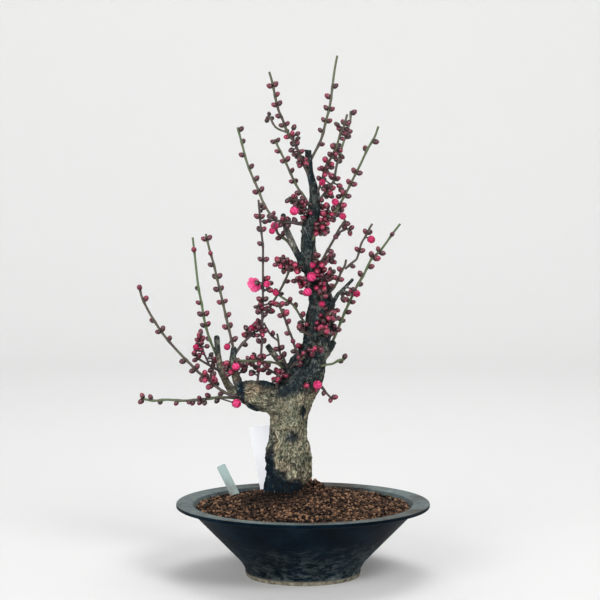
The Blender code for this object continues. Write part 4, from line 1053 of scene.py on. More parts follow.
def find_buds(node):
    """Foot, direction and length of each bud of a node, in mm."""
    bm = merged_copy(node)
    found = []
    for vert in bm.verts:
        if len(vert.link_edges) != 4:
            continue
        point = math.tau - sum(loop.calc_angle() for loop in vert.link_loops)
        belly = [edge.other_vert(vert).co for edge in vert.link_edges]
        sides = sorted((corner - vert.co).length for corner in belly)
        if point < SHARP_POINT or sides[-1] > MOST_UNEVEN * sides[0]:
            continue
        way = vert.co - sum(belly, Vector()) / 4
        length = way.length / (1 - BELLY_SHARE)
        if BUD_LENGTHS[0] < length < BUD_LENGTHS[1]:
            found.append((vert.co - way.normalized() * length, way.normalized(), length))
    bm.free()
    return found


growth = sorted({shoot.name for shoot in SHOOTS + SPURS})
buds = {node: find_buds(node) for node in growth}
print(sum(len(each) for each in buds.values()), "buds found")

# %% [markdown]
# ## A flower bud
#
# A closed bud of this tree is a blunt egg, 5 to 6 mm across. Dry brown scales hold it at
# the foot, and the wine-red sepals close over its top. The shape is one ball of a few
# faces whose rings are set to the right radii; the ring at the edge of the scales is moved
# up and down by turns, which gives four small points. Its colour comes from `height`.

# %% Shape one bud
BUD_SIDES = 8

# Height along the bud and radius of each ring, as shares of its length and width
BUD_RINGS = ((0.0, 0.0), (0.04, 0.42), (0.17, 0.80), (0.36, 1.02), (0.46, 0.96),
             (0.66, 0.94), (0.84, 0.66), (0.95, 0.32), (1.0, 0.0))
SCALE_EDGE = 3
SCALE_UP, SCALE_DOWN = 0.07, 0.05


def angle_from_foot(vert):
    """How high on a ball of radius 1 a point lies, as an angle from the lowest point."""
    return math.acos(kept_in(-vert.co.z, -1.0))


def bud_mesh():
    """A bud one long and one wide, standing on its foot, with its height on each point."""
    bm = bmesh.new()
    bmesh.ops.create_uvsphere(bm, u_segments=BUD_SIDES, v_segments=len(BUD_RINGS) - 1, radius=1)
    high = bm.verts.layers.float.new("height")
    step = math.pi / (len(BUD_RINGS) - 1)
    for vert in bm.verts:
        ring = round(angle_from_foot(vert) / step)
        height, radius = BUD_RINGS[ring]
        side = round(math.atan2(vert.co.y, vert.co.x) / math.tau * BUD_SIDES)
        if ring == SCALE_EDGE:
            height += SCALE_UP if side % 2 else -SCALE_DOWN
        if 0 < ring < len(BUD_RINGS) - 1:
            vert.co.xy = vert.co.xy.normalized() * radius * 0.5
        vert.co.z = height
        vert[high] = height
    return as_mesh("bud", bm)


bud = bud_mesh()
print("a bud has", len(bud.polygons), "faces")

# %% [markdown]
# ## A swelling flower
#
# Just before it opens, the flower is a ball of five petals, each lapped over the next like
# a spiral, and it stands on a cup with five blunt sepals. A fine ball gets the five laps as
# steps in its radius, and a dimple at the top where the petals leave a small hole. Five
# real petals would cost five times the faces and look the same.

# %% Shape a swelling flower
PETALS = 5
BALL_SIDES = 40
BALL_RINGS = 20
LAP_STEP = 0.22
LAP_CURVE = 1.6
LAP_TWIST = 0.9
TOP_HOLE = 0.24
HOLE_DEPTH = 0.55


def petal_ball(radius, tone):
    """A ball of lapped petals round the origin, its top up, with painted shade under each lap and in the
    top hole.
    """
    bm = bmesh.new()
    bmesh.ops.create_uvsphere(bm, u_segments=BALL_SIDES, v_segments=BALL_RINGS, radius=radius)
    high = bm.verts.layers.float.new("height")
    for vert in bm.verts:
        up = vert.co.z / radius
        turn = math.atan2(vert.co.y, vert.co.x) / math.tau * PETALS + LAP_TWIST * up
        lap = turn - math.floor(turn)
        rise = vert.co.xy.length / radius
        vert.co.xy *= 1 - LAP_STEP * rise * (1 - lap) ** LAP_CURVE
        hole = math.exp(-(rise / TOP_HOLE) ** 2) if up > 0 else 0.0
        vert.co.z -= radius * HOLE_DEPTH * hole
        # Painted shade: darker where a petal tucks under the next and in the hole at the top.
        vert[high] = tone * (0.5 + 0.42 * lap * rise - 0.45 * hole)
    return bm


print("a swelling flower has", BALL_SIDES * BALL_RINGS, "faces")

# %% [markdown]
# ## Which flowers are swelling
#
# Each flower is listed as it looks from the front. It grows from the nearest point of its
# shoot, past the bare part at the foot, and where it would sit too close for its cup and
# stalk it is moved out. The larger ones are pieces of their own, as in the model. The small
# ones belong to their shoot.

# %% The list of flowers
CALYX_LENGTH = 1.8
STALK_LEAST = 1.8


def flower_stem(shoot, points, at, forward, radius):
    """Foot, middle and direction of a flower that grows from the nearest point of a shoot."""
    run = run_lengths(points)
    places = [p for p, s in zip(points, run) if s >= shoot.bare * run[-1]]
    foot = min(places, key=lambda p: (Vector(at) - seen_from_front(p)).length)
    centre = place(*at, foot.y - forward)
    least = radius + CALYX_LENGTH + STALK_LEAST
    way = (centre - foot).normalized()
    if (centre - foot).length < least:
        centre = foot + way * least
    return foot, centre, way


# The shoot each grows from, its middle from the front, how far it stands before that
# shoot, its radius, its name where it is a piece of its own, how light its pink is, and
# the twig it grows from
Bloom = namedtuple("Bloom", "host at forward radius name tone twig", defaults=(1.0, 0))
BLOOMS = (
    Bloom("spur_left_top", (-9, 365), 6, 4.6, "bloom_left_top"),
    Bloom("spur_front_bloom", (8.5, 299), 4, 4.8, "bloom_trunk_upper"),
    Bloom("spur_front_bloom", (4.5, 284), 4, 4.3, "bloom_trunk_lower"),
    Bloom("spur_front_high", (10, 311), 0, 3.4, "bloom_trunk_high", 0.8),
    Bloom("twig_right_down", (14.6, 191), 9, 4.4, "bloom_right_low"),
    Bloom("shoot_level_left", (-66.5, 172), 14, 4.7, "bloom_limb_end"),
    Bloom("twig_level", (-67, 211), 3, 4.0, "bloom_level"),
    Bloom("shoot_left_upright", (-36.6, 291.6), 5, 3.5, "bloom_upright"),
    Bloom("shoot_right_long", (53, 283), 5, 3.9, "bloom_right_long", 0.7),
    Bloom("shoot_right_inner", (66.5, 337), 3, 3.9, "bloom_right_inner", 0.6, 1),
    Bloom("shoot_left_high", (-28, 350), 6, 4.2, "bloom_left_high"),
    Bloom("shoot_limb_front", (-76, 229), 5, 3.4, "", 0.6),
    Bloom("twig_limb_out", (-107, 229), 4, 3.2, "", 0.6, 1),
    Bloom("shoot_left_cross", (-51, 248), 5, 3.4, "", 0.6),
    Bloom("twig_left_slant", (-27, 283), 4, 3.3, "", 0.6),
    Bloom("shoot_right_front", (19, 394), 5, 3.4, "", 0.62),
    Bloom("shoot_right_high", (32, 374), 5, 3.6, "", 0.75),
    Bloom("shoot_right_fork", (40, 359), 4, 3.4, "", 0.6),
    Bloom("spur_front_knot", (19, 272), 3, 3.3, "", 0.6),
    Bloom("spur_left_upper", (-31, 345), 4, 3.3, "", 0.75),
)
print(len(BLOOMS), "swelling flowers are listed")

# %% [markdown]
# ## Growing it all together
#
# For each shoot of the model one mesh is made. It holds the stem or stems, the buds and
# the small flowers that the model fuses to that shoot. A stem swells a little at each bud,
# as a joint does. Four numbers on the points carry what the materials need: `height`
# along a bud or a petal, `ripe` for how far a bud has swollen, `age`, which goes from 0
# at a shoot's foot to 1 at its tip, and `brown`.

# %% Growing tools
JOINT_SWELLING = 0.24
JOINT_LENGTH = 1.7
UNEVENNESS = 0.05
UNEVEN_SIZE = 2.3

# Places of the materials in a growth's list, after the bark
BUD, PETAL = 1, 2

chance = random.Random(7)


def new_growth():
    """An empty mesh with the four numbers that the growing tools fill in."""
    bm = bmesh.new()
    for name in ("height", "ripe", "age", "brown"):
        bm.verts.layers.float.new(name)
    return bm


def dress(bm, before, kind):
    """Gives the faces from number `before` on the material at the place `kind`."""
    bm.faces.ensure_lookup_table()
    for face in bm.faces[before:]:
        face.material_index = kind


def put_in(bm, mesh, move, kind, ripe):
    """Adds a shape to a growth at its place, as bud or petal."""
    layers = bm.verts.layers.float
    heights = [point.value for point in mesh.attributes["height"].data]
    copy = mesh.copy()
    copy.attributes.remove(copy.attributes["height"])
    copy.transform(move)
    first_vert, first_face = len(bm.verts), len(bm.faces)
    bm.from_mesh(copy)
    bpy.data.meshes.remove(copy)
    bm.verts.ensure_lookup_table()
    for vert, height in zip(bm.verts[first_vert:], heights):
        vert[layers["height"]] = height
        vert[layers["ripe"]] = ripe
    dress(bm, first_face, kind)


def put_once(bm, shape, move, kind, ripe):
    """Adds a shape that is used only here, and clears it away."""
    mesh = as_mesh("shape", shape)
    put_in(bm, mesh, move, kind, ripe)
    bpy.data.meshes.remove(mesh)


def grow_stem(bm, shoot, points, feet):
    """One stem that tapers, swells at its buds, and is cut straight at its tip."""
    run = run_lengths(points)
    foot, tip = shoot.radii
    radii = []
    for point, length in zip(points, run):
        near = min(((point - each).length for each in feet), default=99.0)
        joint = 1 + JOINT_SWELLING * math.exp(-(max(near - foot, 0.0) / JOINT_LENGTH) ** 2)
        rough = 1 + UNEVENNESS * noise.noise(point / UNEVEN_SIZE)
        radii.append((foot + (tip - foot) * length / run[-1]) * joint * rough)
    grown = add_stem(bm, points, radii)
    search = KDTree(len(points))
    for number, point in enumerate(points):
        search.insert(point, number)
    search.balance()
    layers = bm.verts.layers.float
    for vert in grown:
        vert[layers["age"]] = run[search.find(vert.co)[1]] / run[-1]
        vert[layers["brown"]] = shoot.brown


print("a growth's points carry", new_growth().verts.layers.float.keys())

# %% [markdown]
# ## A flower's stalk, cup and petals
#
# A flower sits on a short woody stalk. The cup of five sepals that clasps it is a ball too:
# its points slide down towards the foot, less far where a sepal is, and that leaves a bowl
# with five lobes. The top of the ball is deleted, and solidify makes a sheet of the rest.

# %% Flower tools
STALK_RADIUS = 0.85
STALK_BROWN = 0.85
CUP_SIDES, CUP_RINGS = 20, 6
CUP_DEGREES, SEPAL_DEGREES = 34, 30
SEPAL_WIDTH = 0.7
CUP_ROOM = 1.05
CUP_THICKNESS = 0.3


def toward(way, centre):
    """The move that takes a shape standing up at the origin to a place and a direction."""
    turn = Vector((0, 0, 1)).rotation_difference(way).to_matrix().to_4x4()
    return Matrix.Translation(centre) @ turn


def add_stalk(bm, points, radii):
    """A short woody stalk, brown as old spurs are."""
    for vert in add_stem(bm, points, radii):
        vert[bm.verts.layers.float["brown"]] = STALK_BROWN


def add_calyx(bm, foot, centre, radius):
    """A flower's short stalk and the cup of sepals that clasps its petals."""
    way = (centre - foot).normalized()
    base = centre - way * radius
    add_stalk(bm, [foot, foot.lerp(base, 0.5), base + way * 0.4], [STALK_RADIUS] * 3)
    cup = bmesh.new()
    bmesh.ops.create_uvsphere(cup, u_segments=CUP_SIDES, v_segments=CUP_RINGS, radius=1)
    high = cup.verts.layers.float.new("height")
    top = [vert for vert in cup.verts if vert.co.z > 0.99]
    for vert in cup.verts:
        share = angle_from_foot(vert) / (math.pi * (CUP_RINGS - 1) / CUP_RINGS)
        turn = math.atan2(vert.co.y, vert.co.x)
        lobe = (0.5 + 0.5 * math.cos(PETALS * turn)) ** SEPAL_WIDTH
        spread = share * math.radians(CUP_DEGREES + SEPAL_DEGREES * lobe)
        out = vert.co.xy.normalized() * math.sin(spread) if share > 0.01 else Vector((0, 0))
        vert.co = Vector((out.x, out.y, -math.cos(spread))) * radius * CUP_ROOM
        vert[high] = 0.2 + 0.15 * share
    bmesh.ops.delete(cup, geom=top, context="VERTS")
    bmesh.ops.solidify(cup, geom=cup.faces[:], thickness=CUP_THICKNESS)
    put_once(bm, cup, toward(way, centre), BUD, 0.3)


def add_ball(bm, centre, way, radius, tone):
    """The lapped petals of a swelling flower."""
    spin = Matrix.Rotation(chance.uniform(0, math.tau), 4, "Z")
    put_once(bm, petal_ball(radius, tone), toward(way, centre) @ spin, PETAL, 1.0)


print("the sepals reach", CUP_DEGREES + SEPAL_DEGREES, "degrees up the petals")

# %% [markdown]
# ## The finishes of young wood, buds and petals
#
# Young bark is smooth, green where the sun doesn't reach and brownish on top, with tiny
# pale pores. Buds are satin wine red, brown at their scales, and brighter towards the tip
# as they swell; the light tip of a closed bud is partly a painted highlight. Petals let light
# through, so they have some subsurface scattering, and they are deeper pink in their folds
# than at their edges, which on the swelling flowers is painted shade.

# %% Young bark
young_bark, tree, shader, here = new_material("green_shoot_bark", roughness=0.5, specular_ior_level=0.4)
drift = add(tree, "TexNoise", {"Vector": here, "Scale": every(16.7), "Detail": 4.0, "Roughness": 0.6})
pores = add(tree, "TexNoise", {"Vector": here, "Scale": every(1.11), "Detail": 2.0})
upward = add(tree, "SeparateXYZ", {"Vector": add(tree, "NewGeometry").outputs["Normal"]})
sunny = add(tree, "Math", {0: upward.outputs["Z"], 1: 0.14}, operation="MULTIPLY")
uneven = add(tree, "MapRange", {"Value": drift.outputs["Fac"], "From Min": 0.3, "From Max": 0.7,
                                "To Min": -0.30, "To Max": 0.30})
own = add(tree, "Attribute", attribute_name="brown")
age = add(tree, "Attribute", attribute_name="age")
greener = add(tree, "Math", {0: age.outputs["Fac"], 1: -0.22}, operation="MULTIPLY")
together = add(tree, "Math", {0: own.outputs["Fac"], 1: greener.outputs["Value"]}, operation="ADD")
patched = add(tree, "Math", {0: together.outputs["Value"], 1: uneven.outputs["Result"]}, operation="ADD")
toned = add(tree, "Math", {0: patched.outputs["Value"], 1: sunny.outputs["Value"]}, operation="ADD")
stem_tone = add(tree, "ValToRGB", {"Fac": toned.outputs["Value"]},
                stops=((0.0, "#4b5e3b"), (0.25, "#525a40"), (0.5, "#4d473c"), (0.8, "#43353a")))
pore = add(tree, "MapRange", {"Value": pores.outputs["Fac"], "From Min": 0.64, "From Max": 0.72,
                              "To Max": 0.5})
dotted = add(tree, "Mix", {0: pore.outputs["Result"], 6: stem_tone.outputs["Color"], 7: srgb("#a39c84")},
             data_type="RGBA")
tree.links.new(dotted.outputs[2], shader.inputs["Base Color"])
wrinkle = add(tree, "Bump", {"Height": pores.outputs["Fac"], "Strength": 0.3, "Distance": 0.0002})
tree.links.new(wrinkle.outputs["Normal"], shader.inputs["Normal"])
print("young bark takes", len(tree.nodes), "nodes")

# %% Buds
bud_skin, tree, shader, here = new_material("wine_red_bud_scales", roughness=0.3, specular_ior_level=0.6)
height = add(tree, "Attribute", attribute_name="height")
ripe = add(tree, "Attribute", attribute_name="ripe")
# The lightest stop, at a closed bud's tip, is partly a painted highlight.
closed = add(tree, "ValToRGB", {"Fac": height.outputs["Fac"]},
             stops=((0.20, "#2c1c19"), (0.42, "#3b181d"), (0.60, "#43141f"), (0.92, "#5d2234")))
swollen = add(tree, "ValToRGB", {"Fac": height.outputs["Fac"]},
              stops=((0.20, "#3c1f1d"), (0.42, "#6e1a2c"), (0.60, "#97193c"), (0.92, "#c52c5f")))
skin = add(tree, "Mix", {0: ripe.outputs["Fac"], 6: closed.outputs["Color"],
                         7: swollen.outputs["Color"]}, data_type="RGBA")
mottle = add(tree, "TexNoise", {"Vector": here, "Scale": every(1.67), "Detail": 4.0})
darker = add(tree, "MapRange", {"Value": mottle.outputs["Fac"], "From Min": 0.35, "From Max": 0.65,
                                "To Min": 0.6, "To Max": 0.0})
bud_tone = add(tree, "Mix", {0: darker.outputs["Result"], 6: skin.outputs[2], 7: srgb("#1e0d12")},
               data_type="RGBA")
tree.links.new(bud_tone.outputs[2], shader.inputs["Base Color"])
print("the bud scales take", len(tree.nodes), "nodes")

# %% Petals
petal_skin, tree, shader, here = new_material(
    "pink_petals", roughness=0.5, subsurface_weight=0.25, subsurface_scale=0.002,
    subsurface_radius=(1.0, 0.35, 0.35), specular_ior_level=0.3)
height = add(tree, "Attribute", attribute_name="height")
pink = add(tree, "ValToRGB", {"Fac": height.outputs["Fac"]},
           stops=((0.05, "#5e0a29"), (0.45, "#a81c4f"), (0.72, "#d83575"), (0.95, "#f06c9e")))
veins = add(tree, "TexNoise", {"Vector": here, "Scale": every(2), "Detail": 5.0, "Roughness": 0.6})
streak = add(tree, "MapRange", {"Value": veins.outputs["Fac"], "From Min": 0.40, "From Max": 0.62,
                                "To Min": 0.5, "To Max": 0.0})
petal_tone = add(tree, "Mix", {0: streak.outputs["Result"], 6: pink.outputs["Color"],
                               7: srgb("#a81a50")}, data_type="RGBA")
tree.links.new(petal_tone.outputs[2], shader.inputs["Base Color"])
print("the petals take", len(tree.nodes), "nodes")

# %% [markdown]
# ## Where buds are many, and where they are ripe
#
# The model holds the buds that matter for its shape. The real tree has many more, in tight
# clusters on the old wood and round the forks, and some of those clusters are already
# crimson. Each line of the list is one cluster as it looks from the front: its middle, its
# half width and height, how many buds are added there, and which share of them is ripe.

# %% The clusters
CLUSTERS = (
    (-26, 499, 3, 3, 1, 0.0), (-31, 458, 5, 3, 4, 0.0), (-12, 440, 8, 8, 9, 0.1),
    (-9, 423, 6, 4, 7, 0.1), (-3, 411, 5, 6, 5, 0.3), (39, 449, 7, 8, 8, 0.1),
    (35, 424, 7, 7, 8, 0.1), (22, 405, 8, 10, 9, 0.2), (41, 437, 5, 5, 4, 0.1),
    (-7, 376, 13, 5, 8, 0.1), (1, 363, 7, 10, 13, 0.2), (30, 385, 10, 10, 12, 0.5),
    (33, 360, 14, 8, 13, 0.8), (21, 349, 10, 8, 14, 0.7), (54, 347, 13, 8, 8, 0.3),
    (26, 366, 8, 12, 9, 0.6), (-40, 362, 9, 9, 8, 0.1), (-46, 372, 5, 4, 4, 0.0),
    (-20, 313, 10, 5, 12, 0.3), (-12, 308, 9, 5, 10, 0.3), (1, 290, 6, 11, 9, 0.6),
    (24, 308, 7, 12, 13, 0.2), (16, 299, 7, 14, 10, 0.4), (18, 288, 5, 5, 4, 1.0),
    (-33, 291, 7, 8, 12, 0.6), (-45, 267, 7, 6, 9, 0.1), (-49, 245, 13, 6, 13, 0.3),
    (-28, 267, 6, 4, 5, 0.9), (21, 262, 7, 9, 12, 0.3), (27, 249, 8, 10, 13, 0.3),
    (9, 249, 9, 7, 10, 0.3), (20, 246, 5, 5, 5, 0.8), (5, 224, 12, 5, 9, 0.5),
    (-24, 199, 7, 6, 7, 0.6), (6, 190, 5, 4, 4, 0.4), (47, 282, 7, 6, 6, 0.6),
    (68, 319, 13, 6, 6, 0.0), (60, 303, 8, 5, 5, 0.0), (-102, 227, 8, 7, 9, 0.3),
    (-102, 250, 4, 10, 8, 0.05), (-103, 263, 7, 7, 7, 0.0), (-104, 336, 2, 2, 1, 0.0),
    (-103, 317, 2, 2, 1, 0.0), (-111, 301, 2, 2, 1, 0.0), (-100, 280, 3, 4, 2, 0.0),
    (-137, 180, 2, 2, 1, 0.0), (-149, 173, 2, 2, 1, 0.0), (-126, 172, 2, 2, 1, 0.0),
    (-116, 173, 3, 2, 2, 0.0), (-104, 180, 2, 2, 1, 0.0), (-98, 173, 2, 2, 1, 0.0),
    (-92, 197, 9, 6, 12, 0.9), (-73, 211, 8, 9, 13, 0.9),
    (-85, 222, 5, 8, 6, 0.4), (-51, 217, 14, 4, 8, 0.2), (-53, 206, 6, 4, 6, 0.2),
)


def ripe_share_at(point):
    """The largest share of ripe buds among the clusters that a point shows in."""
    seen = seen_from_front(point)
    shares = [share for x, z, half_width, half_height, count, share in CLUSTERS
              if math.hypot((seen.x - x) / half_width, (seen.y - z) / half_height) < 1.1]
    return max(shares, default=0.0)


print(sum(cluster[4] for cluster in CLUSTERS), "buds are wanted in", len(CLUSTERS), "clusters")

# %% Grow every shoot and spur
BUD_WIDTH_SHARE = 0.84
BUD_SUNK = 0.5
BUD_ROOM = 0.42
RIPE_LENGTH = 6.95

growths = {node: new_growth() for node in growth}
routes = {}
for shoot in SHOOTS + SPURS:
    points = smooth_route(spread_depths(shoot.route, shoot.depths))
    routes.setdefault(shoot.name, []).append((shoot, points))
    grow_stem(growths[shoot.name], shoot, points, [foot for foot, way, length in buds[shoot.name]])
taken = []


def add_bud(bm, foot, way, length, ripe):
    """One bud on its foot, its length and direction given."""
    wide = BUD_WIDTH_SHARE * length
    spin = Matrix.Rotation(chance.uniform(0, math.tau), 4, "Z")
    size = Matrix.Diagonal((wide, wide, length + BUD_SUNK, 1))
    put_in(bm, bud, toward(way, foot - way * BUD_SUNK) @ spin @ size, BUD, ripe)
    taken.append((foot + way * length / 2, BUD_ROOM * length))


for node, placed in buds.items():
    for foot, way, length in placed:
        is_ripe = length > RIPE_LENGTH or chance.random() < ripe_share_at(foot)
        ripe = chance.uniform(0.75, 1.0) if is_ripe else chance.uniform(0.0, 0.45)
        add_bud(growths[node], foot, way, length, ripe)
print(len(taken), "buds stand on", len(growths), "shoots and spurs")

# %% Add the swelling flowers
own_flowers = {}
for bloom in BLOOMS:
    shoot, points = routes[bloom.host][bloom.twig]
    foot, centre, way = flower_stem(shoot, points, bloom.at, bloom.forward, bloom.radius)
    host = growths[bloom.host]
    add_calyx(host, foot, centre, bloom.radius)
    taken.append((centre, bloom.radius))
    if bloom.name:
        own_flowers[bloom.name] = host = new_growth()
    add_ball(host, centre, way, bloom.radius, bloom.tone)
print(len(own_flowers), "swelling flowers are pieces of their own")

# %% [markdown]
# ## Clusters of buds
#
# For each further bud a random point of its cluster is chosen, and the bud grows from the
# wood that lies nearest to it. Where that is a little way off, it gets a short spur to sit
# on. Where there is no room or no wood near enough, another point is tried. A scatter over
# the whole surface would be simpler, but it couldn't keep to these places.

# %% Find the wood near a point


def nearest_stem(target):
    """The nearest point on a shoot's skin, its outward direction and the shoot's name."""
    best = None
    for node, grown in routes.items():
        for shoot, points in grown:
            run = run_lengths(points)
            for point, length in zip(points, run):
                away = (target - point).length
                if best is None or away < best[0]:
                    thick = shoot.radii[0] + (shoot.radii[1] - shoot.radii[0]) * length / run[-1]
                    best = (away, point, thick, node)
    away, point, thick, node = best
    way = (target - point).normalized()
    return point + way * thick, way, node


def nearest_wood(target):
    """The same for shoots and old wood alike, where the name is None for old wood."""
    skin, normal, _, away = trunk_solid.find_nearest(target)
    foot, way, node = nearest_stem(target)
    if away < (target - foot).length:
        foot, node = skin, None
        inside = (target - skin).dot(normal) < 0
        way = normal if inside else (target - skin).normalized()
    return foot, way, node


print("the wood nearest to the crown belongs to", nearest_wood(place(10, 430, 0))[2])

# %% Grow the clusters
CLUSTER_DEPTH = 15.0
BACK_SHARE = 0.6
WOOD_REACH = 9.0
SPUR_FROM = 3.2
SWAY = 0.45
RIPE_LENGTHS, CLOSED_LENGTHS = (6.6, 7.6), (5.0, 6.6)
CLUSTER_ROOM = 0.46
CROWDING = 0.8
CLUSTER_TRIES = 4
SHORT_SPUR_RADII = [1.0, 0.85, 0.9]

bark_buds = new_growth()
added = 0
for x, z, half_width, half_height, count, ripe_share in CLUSTERS:
    grown_here = 0
    for _ in range(count * CLUSTER_TRIES):
        if grown_here == count:
            break
        turn, out = chance.uniform(0, math.tau), math.sqrt(chance.random())
        depth = chance.uniform(-CLUSTER_DEPTH, BACK_SHARE * CLUSTER_DEPTH)
        target = place(x + half_width * out * math.cos(turn), z + half_height * out * math.sin(turn), depth)
        foot, way, node = nearest_wood(target)
        gap = (target - foot).length
        if gap > WOOD_REACH:
            continue
        sway = Vector([chance.uniform(-SWAY, SWAY) for _ in range(3)])
        way = (way + sway).normalized()
        ripe = chance.random() < ripe_share
        length = chance.uniform(*(RIPE_LENGTHS if ripe else CLOSED_LENGTHS))
        stalk_end = foot + way * kept_in(gap - length / 2, 0.0, WOOD_REACH) if gap > SPUR_FROM else foot
        middle = stalk_end + way * length / 2
        if any((middle - near).length < CLUSTER_ROOM * length + size * CROWDING for near, size in taken):
            continue
        bm = growths[node] if node else bark_buds
        if (stalk_end - foot).length > 1.0:
            spur = [foot - way, foot.lerp(stalk_end, 0.5), stalk_end + way * 0.5]
            add_stalk(bm, spur, SHORT_SPUR_RADII)
        ripeness = chance.uniform(0.7, 1.0) if ripe else chance.uniform(0, 0.4)
        add_bud(bm, stalk_end, way, length, ripeness)
        added += 1
        grown_here += 1
print(added, "buds were added in", len(CLUSTERS), "clusters")

# %% [markdown]
# ## The open flower: one petal
#
# One flower low on the left shoot has opened to a bowl. Its five petals are round, spooned
# and slightly ruffled, with a shallow notch at the tip. Each starts as a flat square grid.
# A formula rounds the square to a disc, which keeps the grid's even cells, and then the
# points are lifted. A disc cut into wedges would pinch at its middle instead.

# %% Shape a petal
PETAL_RADIUS = 4.8
PETAL_CELLS = 14
PETAL_THICKNESS = 0.3
PETAL_OUT = 0.72
PETAL_RISE = 6.8
PETAL_SPOON = 1.0
PETAL_TILT = 0.17
PETAL_RUFFLE = 0.35
NOTCH_DEPTH, NOTCH_WIDTH = 0.07, 0.22


def open_petal(number):
    """One petal of the open flower, its claw at the middle of the flower."""
    bm = bmesh.new()
    bmesh.ops.create_grid(bm, x_segments=PETAL_CELLS, y_segments=PETAL_CELLS, size=1)
    high = bm.verts.layers.float.new("height")
    for vert in bm.verts:
        x, y = vert.co.x, vert.co.y
        round_x = x * math.sqrt(1 - y * y / 2)
        round_y = y * math.sqrt(1 - x * x / 2)
        far = math.hypot(round_x, round_y)
        notch = 1 - NOTCH_DEPTH * math.exp(-(round_y / NOTCH_WIDTH) ** 2) * max(round_x, 0.0)
        across = round_y * (0.62 + 0.38 * min(1.0, (round_x + 1) / 0.9))
        out = PETAL_RADIUS * (round_x * notch + PETAL_OUT)
        side = PETAL_RADIUS * across
        reach = math.hypot(out, side) / (2 * PETAL_RADIUS)
        ruffle = PETAL_RUFFLE * far ** 3 * noise.noise(Vector((round_x * 2, round_y * 2, number * 3.3)))
        vert.co = Vector((out, side, PETAL_RISE * reach * reach + PETAL_SPOON * across ** 2
                          + PETAL_TILT * side + ruffle * 2))
        vert[high] = 0.2 + 0.78 * math.sqrt(reach)
    bmesh.ops.solidify(bm, geom=bm.faces[:], thickness=PETAL_THICKNESS)
    bm.transform(Matrix.Rotation(math.tau * number / PETALS, 4, "Z"))
    bmesh.ops.recalc_face_normals(bm, faces=bm.faces)
    return bm


print("a petal's grid has", PETAL_CELLS, "cells each way")

# %% [markdown]
# ## The open flower: stamens and disc
#
# Each petal laps over the next, because all are tilted the same way. In the middle a tuft
# of stamens stands on a small green-red disc: white-pink threads, each with a yellow anther
# at its end. Every stamen is turned from the last by 2.4 radians, the angle that plants use
# themselves to spread parts evenly. Flower and stamens are one mesh with four materials.

# %% Put the open flower together
OPEN_FLOWER_HOST = "shoot_left_upright"
OPEN_FLOWER_AT = (-46.2, 292.9)
OPEN_FLOWER_FORWARD = 7.0
OPEN_FLOWER_ROOM = 2.0
OPEN_FLOWER_FACING = Vector((-0.57, 0.72, -0.36)).normalized()
STAMENS = 22
STAMEN_TURN = 2.4
STAMEN_LENGTHS = (3.6, 5.4)
STAMEN_UPRIGHT = (1.4, 3.2)
THREAD_RADII = [0.17, 0.15, 0.13]
ANTHER_RADIUS = 0.42
DISC_RADIUS = 1.7
BLADE, THREAD, ANTHER, DISC = 0, 1, 2, 3

shoot, points = routes[OPEN_FLOWER_HOST][0]
foot, centre, way = flower_stem(shoot, points, OPEN_FLOWER_AT, OPEN_FLOWER_FORWARD, OPEN_FLOWER_ROOM)
flower = new_growth()
stand = toward(OPEN_FLOWER_FACING, centre)
for number in range(PETALS):
    put_once(flower, open_petal(number), stand, BLADE, 1.0)
for number in range(STAMENS):
    turn = number * STAMEN_TURN
    lean = Vector((math.cos(turn), math.sin(turn), chance.uniform(*STAMEN_UPRIGHT))).normalized()
    length = chance.uniform(*STAMEN_LENGTHS)
    start = lean * 0.5
    bend = start + lean * length * 0.6 + Vector((0, 0, 0.3))
    thread = [stand @ start, stand @ bend, stand @ (bend + lean * length * 0.4)]
    before = len(flower.faces)
    add_stem(flower, thread, THREAD_RADII, 0)
    dress(flower, before, THREAD)
    before = len(flower.faces)
    bmesh.ops.create_icosphere(
        flower, subdivisions=1, radius=ANTHER_RADIUS, matrix=Matrix.Translation(thread[-1]))
    dress(flower, before, ANTHER)
before = len(flower.faces)
bmesh.ops.create_uvsphere(flower, u_segments=16, v_segments=8, radius=DISC_RADIUS,
                          matrix=stand @ Matrix.Diagonal((1, 1, 0.5, 1)))
dress(flower, before, DISC)

threads = new_material("stamen_threads", base_color=srgb("#f6d5df"), roughness=0.5)[0]
anthers = new_material("yellow_anthers", base_color=srgb("#d9a52e"), roughness=0.8)[0]
disc = new_material("flower_disc", base_color=srgb("#7a2a2e"), roughness=0.6)[0]
new_piece("open_blossom", flower, [petal_skin, threads, anthers, disc], ["bloom_open"])

# %% Its stalk and cup
CUP_FOOT, CUP_MOUTH, CUP_DEPTH = 1.4, 3.1, 2.6
CUP_BEHIND = 1.9

host = growths[OPEN_FLOWER_HOST]
add_stalk(host, [foot, foot.lerp(centre - OPEN_FLOWER_FACING * 2.8, 0.7),
                 centre - OPEN_FLOWER_FACING * 2.2], [STALK_RADIUS] * 3)
cup = bmesh.new()
bmesh.ops.create_cone(
    cup, cap_ends=True, segments=CUP_SIDES, radius1=CUP_FOOT, radius2=CUP_MOUTH, depth=CUP_DEPTH)
high = cup.verts.layers.float.new("height")
for vert in cup.verts:
    vert[high] = 0.3
put_once(host, cup, toward(OPEN_FLOWER_FACING, centre - OPEN_FLOWER_FACING * CUP_BEHIND), BUD, 0.4)
print("the open flower has", PETALS, "petals and", STAMENS, "stamens")

# %% [markdown]
# ## The pieces go into the scene
#
# Each mesh now becomes a piece that stands for its part of the model. The spurs use the
# same three finishes as the shoots.

# %% Make the shoots, spurs and flowers pieces
for node, bm in growths.items():
    new_piece(node + "_grown", bm, [young_bark, bud_skin, petal_skin], [node], sharp=50)
new_piece("buds_on_the_bark", bark_buds, [young_bark, bud_skin, petal_skin], sharp=50)
for node, bm in own_flowers.items():
    dress(bm, 0, 0)
    new_piece(node + "_petals", bm, [petal_skin], [node])
print(len(growths), "shoots and spurs and", len(own_flowers), "flowers are in place")
